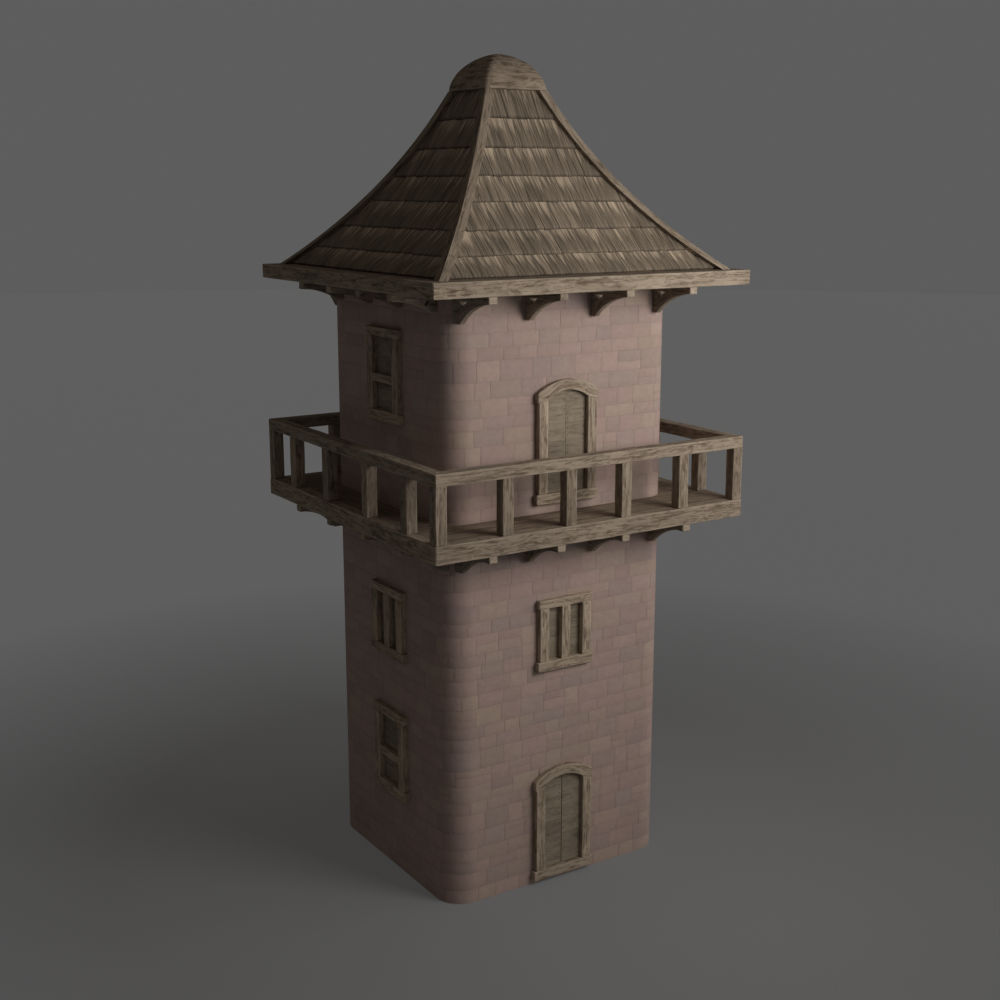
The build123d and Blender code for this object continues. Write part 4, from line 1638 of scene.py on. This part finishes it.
@dataclass
class Balcony:
    """The balcony: edge beams, boards, joists, brackets, posts and handrail."""

    beam_width: float = 0.220
    deck_thick: float = 0.080
    post: float = 0.220
    setback: float = 0.008
    rail_height: float = 0.218
    rail_width: float = 0.240
    radius: float = 0.52
    front_posts: tuple[float, ...] = (0.610, 1.940)
    side_posts: tuple[float, ...] = (0.810, 2.260)
    board_gap: float = 0.006
    front_boards: int = 5
    side_boards: int = 4
    corner_boards: int = 3

    def __post_init__(self) -> None:
        """Reads the balcony's heights and width from the frame."""
        low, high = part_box("balcony_beams_front_back")
        self.half, self.bottom, self.top = high.x, low.z, high.z
        self.deck_bottom = self.top - self.deck_thick
        self.rail_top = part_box("handrails_front_back")[1].z
        self.rail_bottom = self.rail_top - self.rail_height
        self.inner = self.half - self.beam_width
        self.wall_x, self.wall_y = wall_reach(Side.RIGHT), wall_reach(Side.FRONT)
        self.straight = self.wall_y - self.radius

    def add_beams(self) -> None:
        """Makes the edge beams and the handrail."""
        rail_half = self.half - self.setback
        for pair in Pair:
            beams, rails = Work(500 + pair.seed), Work(520 + pair.seed)
            for side in pair.sides:
                mitred(beams, side, self.half, self.beam_width, self.bottom, self.top, TRIMMED)
                mitred(rails, side, rail_half, self.rail_width, self.rail_bottom, self.rail_top, TRIMMED)
            beams.piece(f"edge_beams_{pair.label}", TRIM, Slot.TIMBER,
                        stands_for=[f"balcony_beams_{pair.label}"])
            rails.piece(f"handrail_{pair.label}", TRIM, Slot.TIMBER, stands_for=[f"handrails_{pair.label}"])

    def add_posts(self) -> None:
        """Makes the corner posts and the posts between them."""
        outer = self.half - self.setback
        foot, head = self.top, self.rail_bottom
        corners, others = Work(540), Work(541)
        for side in Side:
            at = wall_place(side, outer)
            corners.block(at, (-outer, -self.post, foot), (-outer + self.post, 0, head), 2, TRIMMED)
            for place in self.front_posts if side.faces_y else self.side_posts:
                for x in (-place, place):
                    others.block(at, (x - self.post / 2, -self.post, foot), (x + self.post / 2, 0, head),
                                 2, TRIMMED)
        corners.piece("posts_corner", TRIM, Slot.TIMBER, stands_for=["corner_posts"])
        others.piece("posts_between", TRIM, Slot.TIMBER, stands_for=["rail_posts"])

    def add_boards(self) -> None:
        """Makes the deck of single boards, cut to the tower's round corners."""
        front, sides = Work(560), Work(561)
        for side in Pair.FRONT_BACK.sides:
            at = wall_place(side, 0.0)
            self._strips(front, at, self.inner, self.wall_y, self.front_boards)
            for hand in (-1, 1):
                self._corner_boards(front, at, hand)
        for side in Pair.SIDES.sides:
            self._strips(sides, wall_place(side, 0.0), self.straight, self.wall_x, self.side_boards)
        front.piece("deck_boards_front_back", DECKING, Slot.DECK, stands_for=["balcony_decks_front_back"])
        sides.piece("deck_boards_sides", DECKING, Slot.DECK, stands_for=["balcony_decks_sides"])

    def _strips(self, work: Work, at: Place, end: float, start: float, count: int) -> None:
        """Adds boards side by side, from a wall out to the edge beam.

        Args:
            work: The piece.
            at: The coordinates they are laid in.
            end: Half their length.
            start: Where the first one starts, out from the axis.
            count: How many boards.
        """
        width = (self.inner - start) / count
        gap = self.board_gap / 2
        for k in range(count):
            near = start + k * width
            work.block(at, (-end, near + gap, self.deck_bottom), (end, near + width - gap, self.top),
                       0, DECKED)

    def _corner_boards(self, work: Work, at: Place, hand: int) -> None:
        """Adds the short boards beside one round corner.

        Args:
            work: The piece.
            at: The coordinates they are laid in.
            hand: Which end of the wall.
        """
        width = (self.wall_y - self.straight) / self.corner_boards
        centre, gap = self.wall_x - self.radius, self.board_gap / 2
        low, top = self.deck_bottom, self.top
        for k in range(self.corner_boards):
            near, far = self.straight + k * width + gap, self.straight + (k + 1) * width - gap
            starts = [centre + math.sqrt(max(0.0, self.radius ** 2 - (y - self.straight) ** 2))
                      for y in (near, far)]
            sections = []
            for x_near, x_far in (starts, (self.inner, self.inner)):
                sections.append((at(hand * x_near, near, low), at(hand * x_near, near, top),
                                 at(hand * x_far, far, top), at(hand * x_far, far, low)))
            work.timber(sections, DECKED)

    def add_joists(self, brackets: Brackets) -> None:
        """Makes the joists, one on each bracket's arm.

        Args:
            brackets: The brackets that carry them.
        """
        work = Work(570)
        half = brackets.width / 2
        for side in Side:
            at = on_wall(side)
            for place in brackets.places(side):
                work.block(at, (place - half, -brackets.buried, self.bottom),
                           (place + half, self.inner - wall_reach(side), self.deck_bottom), 1, DECKED)
        work.piece("deck_joists", DECKING, Slot.DECK, stands_for=["balcony_joists"])

    def build(self) -> None:
        """Makes the whole balcony."""
        brackets = Brackets("balcony", self.bottom, self.half, 600, left_inset=0.226, left_shift=0.0,
                            right_inset=0.358, side_drop=0.530)
        self.add_beams()
        self.add_posts()
        self.add_boards()
        self.add_joists(brackets)
        brackets.build()


# ---- roof ----


@dataclass
class Roof:
    """The eaves, the shingled slopes with their hip boards, and the domed cap.

    foot, middle and head are half widths of the slopes and heights over the eaves, and courses the
    heights of the shingles' lower ends. profile gives a shingle's section at shares of its course:
    the share, and how far its underside and its face stand off the boarding. The shingles stop
    short of the hips by hip_room, under the hip boards.
    """

    foot: tuple[float, float] = (3.130, 0.0)
    middle: tuple[float, float] = (1.580, 1.674)
    head: tuple[float, float] = (0.675, 3.234)
    hip_thick: float = 0.070
    hip_width: float = 0.130
    hip_steps: int = 24
    hip_room: float = 0.115
    shingle_room: float = 0.060
    eave_width: float = 0.650
    courses: tuple[float, ...] = (0.0, 0.333, 0.739, 1.213, 1.663, 2.163, 2.693)
    last_rise: float = 0.03
    least_width: float = 0.13
    most_width: float = 0.27
    least_end: float = 0.008
    row_inset: float = 0.1
    row_shift: float = 0.1
    split: float = 0.003
    sag: float = 0.010
    eave_room: float = 0.004
    crown_room: float = 0.01
    profile: tuple[tuple[float, float, float], ...] = (
        (0.0, 0.010, 0.034), (0.035, 0.008, 0.046), (0.13, 0.006, 0.052), (0.42, 0.004, 0.045),
        (0.78, 0.002, 0.028), (1.16, 0.0, 0.014))
    cap_half: float = 0.690
    cap_shoulder: tuple[float, float] = (0.485, 0.435)
    cap_height: float = 0.665
    cap_round: float = 0.10
    cap_levels: int = 20
    cap_steps: int = 12
    cap_swell: float = 0.006

    def __post_init__(self) -> None:
        """Reads the eaves from the frame and finds the slopes' curve."""
        low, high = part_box("eave_beams_front_back")
        self.half, self.bottom, self.eave = high.x, low.z, high.z
        points = [Vector((half, self.eave + rise)) for half, rise in (self.foot, self.middle, self.head)]
        self.centre_x, self.centre_z, self.bow = circle_through(*points)
        self.crown = self.eave + self.head[1]
        self.boarding = self.hip_thick + self.shingle_room

    def curve(self, inset: float, z: float) -> float:
        """Half width of the roof at a height, moved in square to the slope."""
        radius = self.bow + inset
        return self.centre_x - math.sqrt(radius ** 2 - (z - self.centre_z) ** 2)

    def above(self, z: float, lift: float) -> tuple[float, float]:
        """A point over the boarding.

        Args:
            z: Height of the boarding below it.
            lift: Its distance above the boarding, square to the slope.

        Returns:
            Its half width and its height.
        """
        radius = self.bow + self.boarding
        rise = math.asin((z - self.centre_z) / radius)
        reach = radius - lift
        return self.centre_x - reach * math.cos(rise), self.centre_z + reach * math.sin(rise)

    def add_shingle(self, work: Work, at: Place, ends: tuple[float, float], foot: float,
                    head: float) -> None:
        """Adds one shingle, which grows narrow where it meets a hip.

        Args:
            work: The piece.
            at: The slope's own coordinates.
            ends: Its left and right edge.
            foot: Height of its lower end.
            head: Height of the next course's lower end.
        """
        thick = work.chance.uniform(0.92, 1.06)
        sag = work.chance.uniform(-self.sag, self.sag)
        sections = []
        for share, under, over in self.profile:
            z = foot + (head - foot) * share + sag * (1 - min(1.0, share))
            z = min(max(z, self.eave + self.eave_room), self.crown - self.crown_room)
            lines = []
            for lift in (under, over * thick):
                half, height = self.above(z, lift)
                limit = self.curve(0.0, height) - self.hip_room
                lines.append([at(min(max(x, -limit), limit), half, height) for x in ends])
            lower, upper = lines
            if (lower[1] - lower[0]).length < self.least_end:
                break
            sections.append((lower[0], lower[1], upper[1], upper[0]))
        if len(sections) < 2:
            return
        first = len(work.points)
        work.timber(sections, SPLIT)
        # worn here holds the share up the course, from which the shingle material paints shade at the foot
        # and part painted highlight near the top
        for k in range(first, len(work.points)):
            share = (work.points[k].z - foot) / (head - foot)
            work.worn[k] = min(1.0, max(0.0, share))

    def add_shingles(self) -> None:
        """Makes the shingles, one piece a slope, and dresses the boarding under them."""
        feet = [self.eave + rise for rise in self.courses] + [self.crown + self.last_rise]
        for side in Side:
            work = Work(700 + side.value)
            at = wall_place(side, 0.0)
            for foot, head in zip(feet, feet[1:]):
                half = self.curve(0.0, foot) - self.row_inset
                x = -half - work.chance.uniform(0.0, self.row_shift)
                while x < half:
                    width = work.chance.uniform(self.least_width, self.most_width)
                    ends = (x + self.split / 2, x + width - self.split / 2)
                    self.add_shingle(work, at, ends, foot, head)
                    x += width
            work.piece(f"shingles_{side.name.lower()}", SHINGLES, Slot.ROOF)
        dress(PLANKS, Slot.ROOF, "roof_slopes_front_back", "roof_slopes_sides")

    def add_hips(self) -> None:
        """Makes the pair of boards over each hip."""
        work = Work(740)
        edge = self.hip_width * math.sqrt(2)
        for sx in (-1, 1):
            for sy in (-1, 1):
                for on_front in (True, False):
                    sections = []
                    for k in range(self.hip_steps + 1):
                        z = self.eave + (self.crown - self.eave) * k / self.hip_steps
                        outer, inner = self.curve(0.0, z), self.curve(self.boarding, z)
                        spots = ((outer, outer), (outer - edge, outer), (outer - edge, inner),
                                 (inner, inner))
                        corners = [Vector((sx * a, sy * b, z)) if on_front else Vector((sx * b, sy * a, z))
                                   for a, b in spots]
                        sections.append(tuple(corners))
                    work.timber(sections, HIPPED)
        work.piece("hip_covers", TRIM, Slot.TIMBER, stands_for=["hip_boards"])

    def add_cap(self) -> None:
        """Makes the domed cap with softly ridged corners."""
        work = Work(750)
        centre_x, centre_z, radius = circle_through(Vector((self.cap_half, 0.0)), Vector(self.cap_shoulder),
                                                    Vector((0.0, self.cap_height)))
        levels = self.cap_levels
        shift = work.shift()
        points, grain, worn = [], [], []
        for k in range(levels):
            rise = self.cap_height * math.sin(math.pi / 2 * k / levels)
            half = centre_x + math.sqrt(max(0.0, radius ** 2 - (rise - centre_z) ** 2))
            for x, y, u in self._rounded(half, min(self.cap_round, half * 0.4), self.cap_steps):
                swell = self.cap_swell * noise.noise(Vector((x * 2.5, y * 2.5, rise * 9.0)) + shift)
                point = Vector((x, y, 0.0)) * (1 + swell / max(half, 0.1))
                points.append(point + Vector((0, 0, self.crown + rise)))
                grain.append(Vector((u, rise, 0.0)) + shift)
                worn.append(0.7 if k == 0 else 0.0)
        size = len(points) // levels
        base, top = (levels - 1) * size, len(points)
        points.append(Vector((0, 0, self.crown + self.cap_height)))
        grain.append(shift.copy())
        worn.append(0.0)
        faces = [range(size), *tube(size, levels)]
        faces += [(base + i, base + (i + 1) % size, top) for i in range(size)]
        work.add(points, grain, worn, faces)
        work.piece("domed_cap", TRIM, Slot.TIMBER, stands_for=["roof_cap"], crease=60.0)

    @staticmethod
    def _rounded(half: float, radius: float, steps: int) -> list[tuple[float, float, float]]:
        """A square with round corners.

        Args:
            half: Half its width.
            radius: Its corners' radius.
            steps: Points along each side.

        Returns:
            Each point and its distance along its side.
        """
        found = []
        for turns in range(4):
            turn = math.pi / 2 * turns
            cos, sin = math.cos(turn), math.sin(turn)
            run = half - radius
            local = [(-run + 2 * run * k / steps, -half) for k in range(steps + 1)]
            local += [(run + radius * math.sin(a), -run - radius * math.cos(a))
                      for a in (math.pi / 8, math.pi / 4, math.pi * 3 / 8)]
            found += [(x * cos - y * sin, x * sin + y * cos, x) for x, y in local]
        return found

    def build(self) -> None:
        """Makes the eaves and the roof."""
        for pair in Pair:
            work = Work(760 + pair.seed)
            for side in pair.sides:
                mitred(work, side, self.half, self.eave_width, self.bottom, self.eave, TRIMMED)
            work.piece(f"eaves_{pair.label}", TRIM, Slot.TIMBER, stands_for=[f"eave_beams_{pair.label}"])
        Brackets("eave", self.bottom, self.half, 620, left_inset=0.520, left_shift=0.137,
                 right_inset=0.520, side_drop=0.350).build()
        self.add_shingles()
        self.add_hips()
        self.add_cap()
        dress(PLANKS, Slot.DECK, "roof_floor")


# ---- studio ----


@dataclass
class Studio:
    """A plain floor, soft lamps and the camera. Angles are in degrees, and lamps face their aim."""

    floor_radius: float = 160.0
    floor_drop: float = 0.002
    eye: tuple[float, float, float] = (-14.557, -22.700, 13.220)
    pitch: float = 77.27
    yaw: float = -32.78
    lens: float = 50.0
    sensor: float = 36.0
    sight: float = 500.0
    air: float = 0.062
    air_colour: Colour = (1.0, 0.88, 0.76)
    backdrop: Colour = BACKDROP
    centre: tuple[float, float, float] = (0.0, 0.0, 0.0)
    key_strength: float = 0.72
    key_spread: float = 56.0
    key_towards: tuple[float, float, float] = (0.80, -0.52, 0.24)
    key_colour: Colour = (1.0, 0.96, 0.91)
    panel_power: float = 900.0
    panel_size: float = 6.0
    panel_place: tuple[float, float, float] = (4.6, -12.0, 12.6)
    panel_aim: tuple[float, float, float] = (0.0, 0.0, 11.5)
    fill_strength: float = 0.07
    fill_spread: float = 60.0
    fill_towards: tuple[float, float, float] = (-0.5, -0.9, 0.8)
    fill_colour: Colour = (1.0, 0.90, 0.80)

    def add_floor(self) -> None:
        """Lays the floor."""
        bpy.ops.mesh.primitive_circle_add(vertices=96, radius=self.floor_radius, fill_type="NGON")
        floor = bpy.context.object
        floor.name = "studio_floor"
        floor.location.z = -self.floor_drop
        floor.data.materials.append(FLOOR.material())

    @staticmethod
    def hang(lamp: bpy.types.Light, power: float, colour: Colour, place: Sequence[float],
             aim: Sequence[float]) -> None:
        """Hangs a lamp.

        Args:
            lamp: The lamp.
            power: Its power in watts, or a distant lamp's strength.
            colour: Its colour.
            place: Where it hangs.
            aim: What it faces.
        """
        lamp.energy = power
        lamp.color = colour
        light = bpy.data.objects.new(lamp.name, lamp)
        light.location = place
        light.rotation_euler = (Vector(place) - Vector(aim)).to_track_quat("Z", "Y").to_euler()
        bpy.context.scene.collection.objects.link(light)

    def add_lamps(self) -> None:
        """Adds a broad distant key, a panel that lifts the upper storeys, and a faint fill."""
        key = bpy.data.lights.new("key", "SUN")
        key.angle = math.radians(self.key_spread)
        self.hang(key, self.key_strength, self.key_colour, self.key_towards, self.centre)
        panel = bpy.data.lights.new("key_panel", "AREA")
        panel.size = self.panel_size
        self.hang(panel, self.panel_power, self.key_colour, self.panel_place, self.panel_aim)
        fill = bpy.data.lights.new("fill", "SUN")
        fill.angle = math.radians(self.fill_spread)
        self.hang(fill, self.fill_strength, self.fill_colour, self.fill_towards, self.centre)

    def add_air(self) -> None:
        """Sets the dim light from all round, and the plain grey that is seen beyond the floor."""
        world = bpy.data.worlds.new("studio_air")
        bpy.context.scene.world = world
        world.use_nodes = True
        nodes, links = world.node_tree.nodes, world.node_tree.links
        dim = nodes["Background"]
        dim.inputs[0].default_value = (*self.air_colour, 1.0)
        dim.inputs[1].default_value = self.air
        seen = nodes.new("ShaderNodeBackground")
        seen.inputs[0].default_value = (*self.backdrop, 1.0)
        sight = nodes.new("ShaderNodeLightPath")
        choice = nodes.new("ShaderNodeMixShader")
        links.new(sight.outputs["Is Camera Ray"], choice.inputs[0])
        links.new(dim.outputs[0], choice.inputs[1])
        links.new(seen.outputs[0], choice.inputs[2])
        links.new(choice.outputs[0], nodes["World Output"].inputs[0])

    def add_camera(self) -> None:
        """Places the camera."""
        camera = bpy.data.cameras.new("camera")
        camera.lens = self.lens
        camera.sensor_width = self.sensor
        camera.clip_end = self.sight
        eye = bpy.data.objects.new("camera", camera)
        eye.location = self.eye
        eye.rotation_euler = (math.radians(self.pitch), 0.0, math.radians(self.yaw))
        bpy.context.scene.collection.objects.link(eye)
        bpy.context.scene.camera = eye

    def build(self) -> None:
        """Sets the whole studio."""
        self.add_floor()
        self.add_lamps()
        self.add_air()
        self.add_camera()
        bpy.context.scene.view_settings.view_transform = "Standard"


def main() -> None:
    """Builds the tower from the ground up, then the studio."""
    logging.basicConfig(level=logging.INFO, format="%(message)s")
    windows, balcony = Windows(), Balcony()
    doors = Doors(balcony.top)
    fitted = [*windows.all(), doors.ground, doors.upper]
    Masonry([item.opening() for item in fitted]).build()
    dress(FLAGS, Slot.FLOOR, "ground_floor")
    dress(PLANKS, Slot.DECK, "first_floor", "upper_floor")
    doors.build()
    windows.build()
    balcony.build()
    Roof().build()
    Studio().build()


if __name__ == "__main__":
    main()
